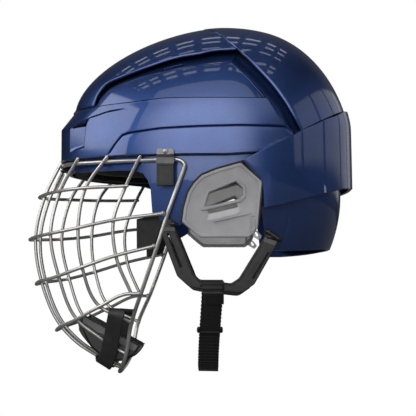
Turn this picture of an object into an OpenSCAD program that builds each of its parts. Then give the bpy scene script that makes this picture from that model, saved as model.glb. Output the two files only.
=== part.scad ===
// Ice hockey helmet with a wire face cage, an adult medium shell.
// Frame: +Z up, the face looks along -Y, +X is the wearer's left side.
// The origin is the middle of the head inside the shell, which holds the helmet in use.

/* [Shell] */
// Front of the brow to the back of the rear band
shell_len = 280; // [268:1:292]
// Widest outside width over the ears
shell_w = 215; // [208:1:222]
// Height of the crown above the origin
crown_z = 174.6; // [170:0.2:180]
// Wall thickness of the moulded shells
wall = 3.2; // [2.6:0.1:3.6]
// How far the lower sides sit inside the upper skin
side_step = 7.5; // [6.8:0.1:8]

/* [Liner] */
// Foam thickness at the sides
liner_side = 15; // [10:1:16]
// Foam thickness at the forehead
liner_front = 20; // [12:1:22]
// Foam thickness at the back of the head
liner_rear = 24; // [16:1:26]
// Foam thickness at the crown
liner_crown = 20; // [12:1:22]

/* [Cage] */
// Diameter of the perimeter wire
rim_d = 3.8; // [3.4:0.1:4]
// Diameter of the cross bars and uprights
bar_d = 3.2; // [2.8:0.1:3.4]
// Sides of the wires' cross-section
wire_sides = 8; // [6:1:10]

/* [Chin strap] */
// Width of the webbing
web_w = 18; // [16:0.5:19]
// Thickness of the webbing
web_t = 1.6; // [1.2:0.1:2]
// Thickness of the moulded yokes
yoke_t = 2.6; // [2:0.1:3]

/* [Hidden] */

navy = [0.11, 0.17, 0.42];
dark_foam = [0.12, 0.12, 0.13];
grey_foam = [0.4, 0.4, 0.42];
clear_plastic = [0.7, 0.72, 0.74, 0.5];
black_plastic = [0.08, 0.08, 0.09];
steel = [0.75, 0.76, 0.78];
webbing_black = [0.1, 0.1, 0.11];
tiny = 0.01;

// ---- General functions ----
function lerp(a, b, t) = a + (b - a) * t;
function clamp(v, lo, hi) = min(max(v, lo), hi);
function unit(v) = v / norm(v);
function flip(p, side) = [p.x * side, p.y, p.z];
// Point at t, from 0 to 1, along a list, on straight lines between its entries
function along(list, t) =
  let (k = clamp(t, 0, 1) * (len(list) - 1), i = min(floor(k), len(list) - 2))
  lerp(list[i], list[i + 1], k - i);
// The same on a smooth curve through the entries
function curve_at(p, i, f) =
  let (n = len(p) - 1, a = p[max(i - 1, 0)], b = p[i], c = p[min(i + 1, n)], d = p[min(i + 2, n)])
  0.5 * (2 * b + (c - a) * f + (2 * a - 5 * b + 4 * c - d) * f * f
    + (3 * b - a - 3 * c + d) * f * f * f);
function smooth(list, t) =
  let (k = clamp(t, 0, 1) * (len(list) - 1), i = min(floor(k), len(list) - 2))
  curve_at(list, i, k - i);

// ---- Outer skin: flat ovals stacked from the ears to the crown ----
hub = [0, 10, 40];                       // centre that the skin is measured from
front_y = -shell_len / 2;
rear_y = shell_len / 2;
widest_z = 40;
ledge_low = 74;                          // chamfer across the forehead
ledge_high = 91;
ledge_y = front_y + 13.5;
plan_power = 2.2;                        // 2 is an ellipse, more is squarer

function rise(z, from) = clamp((z - from) / (crown_z - from), 0, 1);
function arch(t, a, b) = pow(max(1 - pow(t, a), 0), b);
function skin_front(z) = z < ledge_low ? front_y
  : z < ledge_high ? lerp(front_y, ledge_y, (z - ledge_low) / (ledge_high - ledge_low))
  : lerp(22, ledge_y, arch(rise(z, ledge_high), 1.7, 0.588));
function skin_rear(z) = z < 10 ? rear_y - 0.004 * pow(10 - z, 2)
  : lerp(25, rear_y - 1, arch(rise(z, 75), 1.5, 0.42)) + (z < 75 ? 1 : 0) * (75 - z) / 65;
function skin_mid(z) = 15 + 8 * pow(rise(z, widest_z), 2);
function skin_half(z) = z < widest_z ? shell_w / 2 - 0.0014 * pow(widest_z - z, 2)
  : shell_w / 2 * arch(rise(z, widest_z), plan_power, 1 / plan_power);
// How far y reaches towards the front or the rear end of the oval at height z
function reach(y, z) = y < skin_mid(z) ? (skin_mid(z) - y) / (skin_mid(z) - skin_front(z))
  : (y - skin_mid(z)) / (skin_rear(z) - skin_mid(z));
// Half width of the skin at y and z, and the point there
function side_x(y, z) = skin_half(z) * pow(max(1 - pow(reach(y, z), plan_power), 0), 1 / plan_power);
function side(p) = [side_x(p[0], p[1]), p[0], p[1]];
function within(p) = p.z < crown_z
  && pow(abs(p.x) / max(skin_half(p.z), tiny), plan_power) + pow(abs(reach(p.y, p.z)), plan_power) < 1;
// Distance from the hub to the skin along a direction
function cast(c, u, lo, hi, i) = i == 0 ? (lo + hi) / 2
  : within(c + u * (lo + hi) / 2) ? cast(c, u, (lo + hi) / 2, hi, i - 1)
  : cast(c, u, lo, (lo + hi) / 2, i - 1);
function hub_of(p) = [0, hub.y, min(p.z, hub.z)];
// A point of the skin in line with p, sunk by depth
function on_skin(p, depth) =
  let (c = hub_of(p), u = unit(p - c)) c + u * (cast(c, u, 20, 220, 17) - depth);
// A point of the oval at height z: turn is 90 at the front, 0 at the side, -90 at the rear
function plan(turn, z) =
  let (s = abs(sin(turn)), k = 2 / plan_power, far = turn > 0 ? skin_front(z) : skin_rear(z))
  [skin_half(z) * pow(max(cos(turn), 0), k), lerp(skin_mid(z), far, pow(s, k)), z];

// ---- Closed solids from grids of points ----
function grid_faces(nu, nv, base, turned) = [for (i = [0 : nu - 1], j = [0 : nv - 1])
  let (a = base + i * (nv + 1) + j, b = a + nv + 1)
  each (turned ? [[a, a + 1, b + 1], [a, b + 1, b]] : [[a, b + 1, a + 1], [a, b, b + 1]])];
function wall_faces(edge, n) = [for (k = [0 : len(edge) - 2])
  each [[edge[k], edge[k + 1], edge[k + 1] + n], [edge[k], edge[k + 1] + n, edge[k] + n]]];
// A shell between two grids of nu by nv cells
module between(outer, inner, nu, nv) {
  n = (nu + 1) * (nv + 1);
  rim = concat([for (j = [0 : nv]) j], [for (i = [1 : nu]) i * (nv + 1) + nv],
    [for (j = [nv - 1 : -1 : 0]) nu * (nv + 1) + j], [for (i = [nu - 1 : -1 : 0]) i * (nv + 1)]);
  polyhedron(points = concat(outer, inner),
    faces = concat(grid_faces(nu, nv, 0, false), grid_faces(nu, nv, n, true), wall_faces(rim, n)));
}
// A panel of the skin: spot(u, v) gives its points, depth(u, v) how far each is sunk
module panel(spot, depth, thick, us, vs) {
  cells = [for (u = us, v = vs)
    let (p = spot(u, v), c = hub_of(p), w = unit(p - c), d = depth(u, v)) [c, w, cast(c, w, 20, 220, 17) - d]];
  between([for (k = cells) k[0] + k[1] * k[2]], [for (k = cells) k[0] + k[1] * (k[2] - thick)],
    len(us) - 1, len(vs) - 1);
}
function steps(a, b, n) = [for (i = [0 : n]) lerp(a, b, i / n)];
// Row over the crown from the left edge point, through the middle, to the right one
function over(edge, mid, a) =
  let (l = side(edge), m = [0, mid[0], mid[1]], q = 2 * m - [0, l.y, l.z])
  [l.x * (1 - 2 * a), lerp(l.y, q.y, 2 * a * (1 - a)), lerp(l.z, q.z, 2 * a * (1 - a))];

// ---- Edges of the panels, as [y, z] on the left side ----
// Lower edge of the front shell: brow, temple lobe and the arch over the ear
front_low = [[-140, 31], [-134, 31], [-124, 30], [-110, 29.5], [-88, 29], [-70, 28], [-61, 25.5],
  [-56, 19], [-53.4, 12], [-51.8, -10], [-40, -19], [-27, -23], [-22.5, -20], [-20.5, -7],
  [-16.5, 7], [-10.5, 16.5], [-3, 24], [11, 29.6], [34, 35.5], [52, 45.5], [68, 53.5], [80, 60]];
// Upper edge of the front shell: forehead ledge, then the line along the side
front_top = [[-126.5, 91], [-122, 91], [-115, 90.5], [-105.6, 90], [-86, 90.5], [-71, 91], [-62, 91.3],
  [-58, 91.5], [-55, 91.8], [-50, 92.5], [-40, 93.5], [-28, 93.6], [-21, 93.5], [-17, 93.5],
  [-12, 93.5], [-6, 93.5], [3, 93.5], [15, 93.3], [36, 93.3], [55, 93], [67, 76], [80, 64.5]];
// Lip of the front crown from the forehead to the top seam
lip_front = [[-105.6, 91.5], [-101.6, 103], [-93.3, 113], [-76, 119.5], [-51, 128], [-26.4, 135.5],
  [-4.3, 139.2], [8.8, 142.3], [28.9, 143.7]];
crown_mid_front = [[-126, 92.5], [-121.5, 109], [-107, 125], [-85, 142], [-62, 155], [-40, 163.8],
  [-22, 168.7], [-14, 170.4], [-5, 172]];
// Lip of the rear crown down the back edge of the side vent
lip_rear = [[29.5, 143.7], [42.2, 131], [50, 124], [55.3, 118], [66.3, 105.7], [73, 97], [77.5, 90.2],
  [90.3, 67]];
crown_mid_rear = [[-4.4, 172], [25, 174.5], [50, 173], [68.4, 168.8], [91.7, 154], [115, 131],
  [127, 114], [135.5, 93]];
// Edges of the rear band
band_top = [[34.6, 36], [53, 46], [68, 54], [82.2, 61], [90.2, 66], [111, 77], [130, 88.5], [137.9, 92.5]];
band_low = [[54, -7], [62, -5.5], [71.7, -3.3], [82, 0], [92.6, 3], [109.6, 8.1], [127, 13.8], [139.9, 17.7]];
nape_low = [[58, -38], [61, -42], [66, -44.8], [79, -45], [93, -44.5], [108, -43.5], [121, -42], [129.9, -41]];
// Back edges of the side panels, and the rear edge of the vent behind them
panel_back = [[24.4, 129.7], [32, 122], [39.8, 114], [48, 104], [55, 95], [63, 82], [70, 71], [79, 64.5]];
vent_back = [[29, 143], [38, 134.5], [46, 127.5], [55, 117.5], [66, 105], [72.5, 97], [77, 89.5], [87, 69]];

function low_at(t) = along(front_low, t);
function top_at(t) = along(front_top, t);
// Step line between the lower side and the skin above it
function step_at(t) = let (l = low_at(t), u = top_at(t), y = lerp(l[0], u[0], 0.22 * clamp(t / 0.12, 0, 1)))
  [y, max(41.3 + 1.7 * clamp((-125 - y) / 15, 0, 1) + 2 * clamp((y - 20) / 30, 0, 1), l[1] + 0.6)];
// Depth of the lower side, which fades out where it meets the rear band
function step_depth(a) = side_step * clamp((1 - a) / 0.16, 0.05, 1);
function mirrored(spot, u, v) = flip(spot(abs(u), v), u < 0 ? -1 : 1);

module front_shell() {
  half = function (a, v) v < 1 ? lerp(side(low_at(a)), side(step_at(a)), v)
    : lerp(side(step_at(a)), side(top_at(a)), v - 1);
  color(navy) panel(function (u, v) mirrored(half, u, v), function (u, v) v < 1 ? step_depth(abs(u)) : 0, wall,
    steps(-1, 1, 84), [0, 0.5, 0.98, 1.02, 1.33, 1.66, 2]);
}
module top_shell() {
  color(navy) panel(function (u, v) over(smooth(lip_front, u), smooth(crown_mid_front, u), v),
    function (u, v) 0, wall, steps(0, 1, 20), steps(0, 1, 16));
}
module rear_crown_shell() {
  color(navy) panel(function (u, v) over(smooth(lip_rear, u), smooth(crown_mid_rear, u), v),
    function (u, v) 0.6, wall, steps(0, 1, 18), steps(0, 1, 16));
}
module rear_shell() {
  half = function (a, v) lerp(side(along(band_low, 1 - a)), side(along(band_top, 1 - a)), v);
  color(navy) panel(function (u, v) mirrored(half, u, v), function (u, v) -2.4 * pow(1 - abs(u), 0.5), wall,
    steps(1, -1, 44), steps(0, 1, 5));
}
module nape_shell() {
  half = function (a, v) lerp(side(along(nape_low, 1 - a)), side(along(band_low, 1 - a) - [0, 0.4]), v);
  color(navy) panel(function (u, v) mirrored(half, u, v), function (u, v) 4 + 5.5 * (1 - abs(u)), wall,
    steps(1, -1, 40), steps(0, 1, 5));
}
module louvre(s) {
  spot = function (u, v) lerp(side(along([for (p = front_top) if (p[0] > -106 && p[0] < 56) p + [0, 0.5]], u)),
    side(along([for (k = [0 : 9]) k < 8 ? lip_front[k] - [0, 1.6] : [[24.4, 129.7], [39.8, 114]][k - 8]], u)), v);
  color(navy) panel(function (u, v) flip(spot(s > 0 ? u : 1 - u, v), s),
    function (u, v) lerp(3.6, 4.4, v), wall - 0.6, steps(0, 1, 24), steps(0, 1, 6));
}
module vent_channel(s) {
  spot = function (u, v) lerp(side(along(panel_back, u)), side(along(vent_back, u)), v);
  color(navy) panel(function (u, v) flip(spot(s > 0 ? u : 1 - u, v), s), function (u, v) 8.4,
    wall - 1, steps(0, 1, 16), [0, 0.5, 1]);
}

// ---- Liner: foam panels behind the shells ----
module foam(turns, zs, sunk, thick, nu, nv, s) {
  spot = function (u, v) plan(lerp(turns[0], turns[1], u), lerp(zs[0], zs[1], v));
  panel(function (u, v) flip(spot(s > 0 ? u : 1 - u, v), s), sunk, thick, steps(0, 1, nu), steps(0, 1, nv));
}
foam_gap = side_step + wall + 0.6;
module liner_front_part() {
  spot = function (a, v) plan(90 - 62 * a, lerp(19, 118, v));
  color(dark_foam) panel(function (u, v) mirrored(spot, u, v), function (u, v) foam_gap + 1.5,
    liner_front - 5.5, steps(-1, 1, 20), steps(0, 1, 6));
}
module liner_crown_part() {
  color(dark_foam) panel(function (u, v) over([lerp(-45, 70, u), 118], [lerp(-72, 88, u), lerp(148, 154, u)], v)
    + [0, 0, 0.01], function (u, v) foam_gap, liner_crown - 3, steps(0, 1, 8), steps(0, 1, 10));
}
module liner_rear_part() {
  spot = function (a, v) plan(-90 + 58 * a, lerp(-45, 112, v));
  color(dark_foam) panel(function (u, v) mirrored(spot, u, v), function (u, v) 14.5,
    liner_rear - 4, steps(1, -1, 20), steps(0, 1, 6));
}
module liner_side_part(s) {
  color(dark_foam) foam([24, -29], [38, 114], function (u, v) foam_gap, liner_side, 10, 5, s);
}
module forehead_pad() {
  spot = function (a, v) plan(90 - 55 * a, lerp(34, 66, v));
  color(grey_foam) panel(function (u, v) mirrored(spot, u, v), function (u, v) foam_gap + liner_front - 3.6,
    5, steps(-1, 1, 18), steps(0, 1, 3));
}
module nape_pad() {
  spot = function (a, v) plan(-90 + 42 * a, lerp(-32, 8, v));
  color(grey_foam) panel(function (u, v) mirrored(spot, u, v), function (u, v) 16 + liner_rear - 4,
    7, steps(1, -1, 14), steps(0, 1, 3));
}

// ---- Ear guards ----
ear_out = 100.4;                         // outer face of the ear guards
ear_t = 3;
ear_edge = [[-20.9, -20.9], [-19.2, -7.2], [-15.5, 6.7], [-9.9, 15.8], [-2.6, 23.1], [11, 28.6],
  [33.2, 34.2], [44.5, 16.5], [49.3, 2.5], [51.8, -8], [51.4, -15.4], [47.3, -29.2], [36.8, -38.8], [-4.4, -38.8], [-18.2, -26.4]];
ear_hole = [[4.7, 5.7], [29.5, 17.6], [36.8, 11.3], [35, 0.2], [-2.6, -10.8]];
module ear_plate(s, outline, holes, x0, x1) {
  translate([s > 0 ? x0 : -x1, 0, 0]) rotate([90, 0, 90]) linear_extrude(x1 - x0) difference() {
    polygon(outline);
    for (h = holes) polygon(h);
  }
}
module ear_guard(s) {
  color(clear_plastic) {
    ear_plate(s, ear_edge, [ear_hole], ear_out - ear_t, ear_out);
    ear_plate(s, [[4, -14], [40, -5], [40, -2.6], [4, -11.6]], [], ear_out - tiny, ear_out + 1.4);
  }
}
module ear_loop(s) {
  color(clear_plastic) ear_plate(s, [[44, -27.5], [49, -31], [53.5, -36], [50, -39.5], [43, -35]],
    [[[46.5, -31.5], [48.5, -32.5], [50, -35], [47.5, -36]]], ear_out - 9.5, ear_out - 6.9);
}

// ---- Cage: rim, cross bars and uprights ----
cage_hinge = [0, -139.2, 39.2];          // middle of the top wire, which turns in the forehead clip
// Rim on the left side, from the middle of the forehead round to the middle of the chin
rim_route = [[0, -139.2, 39.2], [19, -136.6, 39], [41, -129.5, 38.2], [61, -117.5, 37.4], [72.5, -103, 37],
  [80.5, -89, 37], [87.5, -73.5, 37], [92.5, -58, 37], [97, -45, 37], [100, -33, 37], [101.6, -25, 36.8],
  [102.2, -19.8, 34.5], [102.2, -18.2, 30], [101, -22, 19], [99, -30.5, -4], [97.5, -34.5, -15.5],
  [94.5, -42.6, -40.4], [89, -51.5, -66], [83, -58, -84], [72, -63, -96.5], [61.5, -66.5, -106],
  [55, -69.4, -116], [51, -71.8, -130], [46, -74.5, -143], [34, -78.2, -151.5], [17, -81.5, -156.8],
  [0, -82.5, -158]];
// Where each upright crosses each cross bar, from the top bar down, left side
crossing = [
  [[19, -156.6, 10.5], [51, -138.6, 12], [76.5, -111.9, 13], [88, -73, 14]],
  [[19, -165.5, -30], [50.5, -147.4, -28], [75, -118.8, -24], [87, -84.6, -17.5]],
  [[19, -159.5, -72], [49.5, -139.5, -68], [73.5, -114.8, -60.5], [86, -82.2, -50]],
  [[19, -139.5, -115.5], [46, -122, -108.5], [67, -98, -96.5], [79, -71, -84.5]]];
bar_front = [[0, -161.5, 10], [0, -170.5, -31], [0, -164, -74], [0, -144, -118.5]];
bar_end = [[88.6, -66, 14.2], [99.5, -37.5, -12], [94.4, -46, -41.4], [83.6, -60, -84.4]];
// Tops of the uprights against the outside of the rim, and their lower ends
upright_tip = [[19.6, -138.6, 42], [63, -118.5, 41.5], [83, -89.5, 41.5], [94.8, -58.4, 40.8]];
upright_knee = [[19.4, -143, 33.5], [60.5, -124.5, 31], [83, -95.5, 29.5], [94, -62, 31]];
upright_end = [
  [[18.5, -121.5, -130.5], [18, -104.6, -141.5], [17.5, -91, -149.5], [17, -80.5, -153.4]],
  [[43.5, -100, -124], [42.5, -86.6, -133.5], [44, -73.6, -140.2]],
  [[64.5, -87.4, -101.8], [60.5, -74.4, -107.5], [57, -67.5, -111]],
  [[79.5, -67, -84.6]]];
inset = bar_d - 0.35;                    // uprights sit inside the cross bars and are welded to them
function pull(p) = p - unit([p.x, p.y + 45, 0]) * inset;
// Rings carried along the route without twisting
function carried(route, i, side_dir) = let (n = len(route) - 1,
    dir = unit(route[min(i + 1, n)] - route[max(i - 1, 0)]), a = unit(side_dir - dir * (side_dir * dir)))
  i == n ? [[dir, a]] : concat([[dir, a]], carried(route, i + 1, a));
module wire(route, d, start_dir = [0, 0, 1]) {
  frames = carried(route, 0, start_dir);
  m = wire_sides;
  n = len(route);
  points = [for (i = [0 : n - 1]) let (a = frames[i][1], b = cross(frames[i][0], a))
    for (k = [0 : m - 1]) route[i] + d / 2 * (cos(360 * k / m) * a + sin(360 * k / m) * b)];
  sides = [for (i = [0 : n - 2], k = [0 : m - 1]) let (p = i * m + k, q = i * m + (k + 1) % m)
    each [[p, q + m, q], [p, p + m, q + m]]];
  polyhedron(points = points, faces = concat([[for (k = [0 : m - 1]) k]], sides,
    [[for (k = [m - 1 : -1 : 0]) (n - 1) * m + k]]));
}
function finer(list, count) = [for (i = [0 : count]) smooth(list, i / count)];
function whole(half) = concat([for (k = [len(half) - 1 : -1 : 1]) flip(half[k], -1)], half);

// A closed wire through the route, whose last point joins the first
module closed_wire(route, d) {
  n = len(route);
  m = wire_sides;
  middle = [0, -75, -40];
  points = [for (i = [0 : n - 1]) let (dir = unit(route[(i + 1) % n] - route[(i + n - 1) % n]),
      away = route[i] - middle, a = unit(away - dir * (away * dir)), b = cross(dir, a))
    for (k = [0 : m - 1]) route[i] + d / 2 * (cos(360 * k / m) * a + sin(360 * k / m) * b)];
  polyhedron(points = points, faces = [for (i = [0 : n - 1], k = [0 : m - 1])
    let (p = i * m + k, q = i * m + (k + 1) % m, r = ((i + 1) % n) * m)
    each [[p, r + (k + 1) % m, q], [p, r + k, r + (k + 1) % m]]]);
}
module cage_rim() {
  half = finer(rim_route, 34);
  color(steel) closed_wire(concat(half, [for (k = [len(half) - 2 : -1 : 1]) flip(half[k], -1)]), rim_d);
}
module cage_bar(k) {
  color(steel) wire(finer(whole(concat([bar_front[k]], crossing[k], [bar_end[k]])), 36), bar_d);
}
module upright(s, k) {
  levels = k < 3 ? [0, 1, 2, 3] : [0, 1, 2];
  route = concat([upright_tip[k], upright_knee[k]], [for (n = levels) pull(crossing[n][k])], upright_end[k]);
  color(steel) wire([for (p = finer(route, 22)) flip(p, s)], bar_d, [1, 0, 0]);
}

// ---- Parts on the cage ----
module side_plate(s) {
  corners = [[-58, -21.5], [-42.5, -16.5], [-40, -20], [-49.5, -40.5], [-59.5, -42.2]];
  color(black_plastic) translate([s > 0 ? 88.5 : -90.5, 0, 0]) rotate([90, 0, 90]) linear_extrude(2)
    polygon(corners);
}
// The cup is a trough that follows the chin, as [y, z] down its front, floor and back
cup_section = [[-122.5, -111.5], [-121, -119.5], [-113.5, -128.5], [-101.5, -136], [-88, -141.8], [-76, -144],
  [-67.5, -141.5]];
cup_half_w = 41;
function cup_spot(u, v) = let (p = smooth(cup_section, v), rise = pow(abs(u), 2.4))
  [cup_half_w * u, p[0] + 5 * rise * (1 - v), p[1] + 8 * rise];
module trough(us, vs, low, high) {
  cells = [for (u = us, v = vs) cup_spot(u, v)];
  function toward(p) = unit([p.x * 0.35, -90, -92] - p);
  between([for (p = cells) p + low * toward(p)], [for (p = cells) p + high * toward(p)], len(us) - 1, len(vs) - 1);
}
module chin_cup() {
  color(grey_foam) trough(steps(-1, 1, 18), steps(0, 1, 10), 0, 2.6);
}
module chin_pad() {
  color(dark_foam) trough(steps(-0.92, 0.92, 16), steps(0.06, 0.9, 8), 2.9, 7.4);
}
// Band that ties the cup to the bottom bars
cup_strap = [[59.5, -80, -101], [61.5, -80.3, -98.5], [66.5, -81, -99.5], [68, -82, -104.5], [64, -83.5, -111],
  [55.5, -86.5, -124], [47.5, -89.5, -136], [38.5, -93, -146], [30, -96, -150.6], [24.4, -97.6, -149.4],
  [22.6, -98.4, -145], [24.5, -99, -139.8]];
module band(route, w, t, wide) {
  frames = carried(route, 0, wide);
  n = len(route);
  points = [for (i = [0 : n - 1]) let (a = frames[i][1], b = cross(frames[i][0], a))
    for (c = [[-1, -1], [1, -1], [1, 1], [-1, 1]]) route[i] + w / 2 * c[0] * a + t / 2 * c[1] * b];
  polyhedron(points = points, faces = concat([[0, 1, 2, 3]],
    [for (i = [0 : n - 2], k = [0 : 3]) let (p = i * 4 + k, q = i * 4 + (k + 1) % 4) each [[p, p + 4, q + 4], [p, q + 4, q]]],
    [[for (k = [3 : -1 : 0]) (n - 1) * 4 + k]]));
}
module chin_strap(s) {
  color(black_plastic) mirror([s > 0 ? 0 : 1, 0, 0]) band(finer(cup_strap, 14), 15, 1.8, [0, 1, -0.35]);
}

// ---- Forehead clip and side clips ----
clip_w = 14;
wire_clear = 0.9;
module forehead_clip() {
  color(black_plastic) translate([-clip_w / 2, 0, 0]) difference() {
    translate([0, cage_hinge.y - 1.6, cage_hinge.z - 4.6]) cube([clip_w, 8.1, 8.2]);
    translate([-1, cage_hinge.y, cage_hinge.z]) rotate([0, 90, 0]) cylinder(r = rim_d / 2 + wire_clear, h = clip_w + 2, $fn = 40);
    translate([-1, cage_hinge.y - 4, cage_hinge.z - 2.8]) cube([clip_w + 2, 4, 5.6]);
  }
}
module forehead_strap() {
  color(clear_plastic) difference() {
    translate([0, cage_hinge.y + 0.4, cage_hinge.z - 5.2]) rotate([66, 0, 0]) translate([0, 0, -0.75])
      linear_extrude(1.5) union() {
        translate([-11, -10]) square([22, 10]);
        translate([0, -10]) scale([1, 1]) circle(r = 11, $fn = 48);
      }
    translate([-12, cage_hinge.y - 8, cage_hinge.z - 4.6]) cube([24, 20, 10]);
  }
}
module screw(r, h) {
  difference() {
    cylinder(r = r, h = h, $fn = 32);
    translate([-r * 0.7, -0.3, h - 0.5]) cube([r * 1.4, 0.6, 1]);
  }
}
module forehead_screws() {
  color(steel) for (x = [-4, 4])
    translate([x, cage_hinge.y + 4.6, cage_hinge.z - 4.6]) rotate([180, 0, 0]) screw(1.7, 0.9);
}
clip_y = -35.3;                          // middle of the side clips
clip_out = 107.2;
clip_t = 2.2;
clip_w_side = 15.6;
clip_hinge_z = 39.4;
flap_low = 12.5;
clip_top = 46.2;
screw_z = 43.6;
// A flat piece of the side clips between two heights
module clip_slab(s, z0, z1) {
  translate([s > 0 ? clip_out - clip_t : -clip_out, clip_y - clip_w_side / 2, z0]) cube([clip_t, clip_w_side, z1 - z0]);
}
module clip_base(s) {
  color(clear_plastic) difference() {
    clip_slab(s, clip_hinge_z + clip_t / 2 + 0.3, clip_top);
    translate([s * (clip_out - 5), clip_y, screw_z]) rotate([0, 90 * s, 0]) cylinder(r = 1.5, h = 10, $fn = 32);
  }
}
// The flap turns on its round upper edge
module clip_flap(s) {
  color(black_plastic) union() {
    clip_slab(s, flap_low, clip_hinge_z);
    translate([s * (clip_out - clip_t / 2), clip_y - clip_w_side / 2, clip_hinge_z]) rotate([-90, 0, 0])
      cylinder(r = clip_t / 2, h = clip_w_side, $fn = 40);
  }
}
module clip_screws() {
  color(steel) for (s = [-1, 1]) translate([s * (clip_out - clip_t), clip_y, screw_z]) rotate([0, 90 * s, 0])
    screw(1.45, clip_t + 0.5);
}

// ---- Chin strap ----
yoke_x = 96.2;                           // middle of the moulded yokes
anchor_front = [yoke_x, -28.5, -21.5];
anchor_rear = [yoke_x, 61, -33.5];
pin_r = 1.6;
pin_gap = 0.06;
barrel_wall = 1.1;
barrel_front = 5;                        // lengths of the yoke's barrels
barrel_rear = 9.5;
bar_r = 2.4;                             // round bar that carries the webbing
swing_dir = unit(anchor_rear - anchor_front);
swing_tilt = atan2(swing_dir.z, swing_dir.y);
yoke_outline = [[-30.8, -21.5], [-26.2, -21.5], [-26.2, -25], [-24, -31], [-9.6, -65.5], [-4.5, -71.5],
  [24, -75], [33, -71], [51.5, -39], [56.5, -36.5], [56.5, -32.9], [65.5, -34.1], [65.5, -37.5], [63.5, -44],
  [45.5, -76.5], [33, -84.5], [-3, -80.5], [-13.5, -78.5], [-24.5, -70], [-33.5, -31], [-30.8, -25]];
bar_mid = [yoke_x, 7, -77.5];
module along_swing(p) { translate(p) rotate([swing_tilt, 0, 0]) children(); }
module pin(p, l, r) {
  along_swing(p) translate([0, -l / 2, 0]) rotate([-90, 0, 0]) cylinder(r = r, h = l, $fn = 48);
}
module yoke(s) {
  color(black_plastic) mirror([s > 0 ? 0 : 1, 0, 0]) difference() {
    union() {
      translate([yoke_x - yoke_t / 2, 0, 0]) rotate([90, 0, 90]) linear_extrude(yoke_t) difference() {
        polygon(yoke_outline);
        polygon([[-29.5, -36], [-27.5, -37], [-16, -65.5], [-18, -66]]);
        polygon([[57.5, -45.5], [59.3, -44.5], [46, -69], [44.2, -69]]);
        translate([bar_mid.y - web_w / 2 - 1, bar_mid.z + 2.4]) square([web_w + 2, 5]);
      }
      pin(anchor_front, barrel_front, pin_r + barrel_wall);
      pin(anchor_rear, barrel_rear, pin_r + barrel_wall);
      pin(bar_mid, web_w + 4, bar_r);
    }
    pin(anchor_front, 30, pin_r + pin_gap);
    pin(anchor_rear, 30, pin_r + pin_gap);
  }
}
module yoke_anchor(s) {
  color(black_plastic) mirror([s > 0 ? 0 : 1, 0, 0]) {
    for (a = [[anchor_front, barrel_front], [anchor_rear, barrel_rear]]) {
      pin(a[0], a[1] + 3.2, pin_r);
      for (e = [-1, 1]) along_swing(a[0]) translate([-2.4, e * (a[1] / 2 + 0.9) - 0.65, -1.8]) cube([3, 1.3, 3.6]);
    }
  }
}
// The webbing hangs in a slack bow between the two yoke bars: one arc at the bottom, a wider one up each side
bow_r = 62;
bow_turn = 36;
bow_low = -157;
bow_end = [yoke_x + 3.9, -84];
bow_knee = [bow_r * sin(bow_turn), bow_low + bow_r * (1 - cos(bow_turn))];
bow_chord = bow_end - bow_knee;
arm_turn = 2 * (atan2(bow_chord[1], bow_chord[0]) - bow_turn);
arm_r = norm(bow_chord) / 2 / sin(arm_turn / 2);
arm_hub = [bow_knee[0] - arm_r * sin(bow_turn), bow_knee[1] + arm_r * cos(bow_turn)];
function bow(a) = a <= bow_turn ? [bow_r * sin(a), bar_mid.y, bow_low + bow_r * (1 - cos(a))]
  : [arm_hub[0] + arm_r * sin(a), bar_mid.y, arm_hub[1] - arm_r * cos(a)];
// Its ends go up outside the yoke bar, through the slot and down inside, as [x from the bar, z]
web_end = [[4.2, -80], [4.2, -76], [3.4, -73.9], [1.6, -73], [-1.8, -73], [-3.4, -74], [-4.2, -76.2], [-4.2, -81.5]];
module webbing() {
  half = concat([for (k = [0 : 15]) bow((bow_turn + arm_turn) * k / 15)],
    [for (e = web_end) [yoke_x + e[0], bar_mid.y, e[1]]]);
  color(webbing_black) band(whole(half), web_w, web_t, [0, 1, 0]);
}
slider_turn = bow_turn + arm_turn * 0.5;
module web_slider() {
  color(black_plastic) translate(bow(slider_turn)) rotate([0, -slider_turn, 0]) difference() {
    cube([7, web_w + 7, 5.4], center = true);
    cube([9, web_w + 1.6, web_t + 1.8], center = true);
  }
}

front_shell();
top_shell();
rear_crown_shell();
rear_shell();
nape_shell();
louvre(1);  // louvre_left
louvre(-1);  // louvre_right
vent_channel(1);  // vent_channel_left
vent_channel(-1);  // vent_channel_right
liner_front_part();  // liner_front
liner_crown_part();  // liner_crown
liner_rear_part();  // liner_rear
liner_side_part(1);  // liner_left
liner_side_part(-1);  // liner_right
forehead_pad();
nape_pad();
ear_guard(1);  // ear_guard_left
ear_guard(-1);  // ear_guard_right
ear_loop(1);  // ear_loop_left
ear_loop(-1);  // ear_loop_right
forehead_clip();
forehead_strap();
forehead_screws();
clip_base(1);  // clip_base_left
clip_base(-1);  // clip_base_right
clip_flap(1);  // clip_flap_left
clip_flap(-1);  // clip_flap_right
clip_screws();
cage_rim();
cage_bar(0);  // cage_bar_1
cage_bar(1);  // cage_bar_2
cage_bar(2);  // cage_bar_3
cage_bar(3);  // cage_bar_4
upright(1, 0);  // upright_left_1
upright(1, 1);  // upright_left_2
upright(1, 2);  // upright_left_3
upright(1, 3);  // upright_left_4
upright(-1, 0);  // upright_right_1
upright(-1, 1);  // upright_right_2
upright(-1, 2);  // upright_right_3
upright(-1, 3);  // upright_right_4
side_plate(1);  // side_plate_left
side_plate(-1);  // side_plate_right
chin_cup();
chin_pad();
chin_strap(1);  // chin_strap_left
chin_strap(-1);  // chin_strap_right
yoke_anchor(1);  // yoke_anchor_left
yoke_anchor(-1);  // yoke_anchor_right
yoke(1);  // yoke_left
yoke(-1);  // yoke_right
webbing();
web_slider();
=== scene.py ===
"""Ice hockey helmet with a wire face cage: its looks, in millimetres until a mesh is made."""
import math

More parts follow.
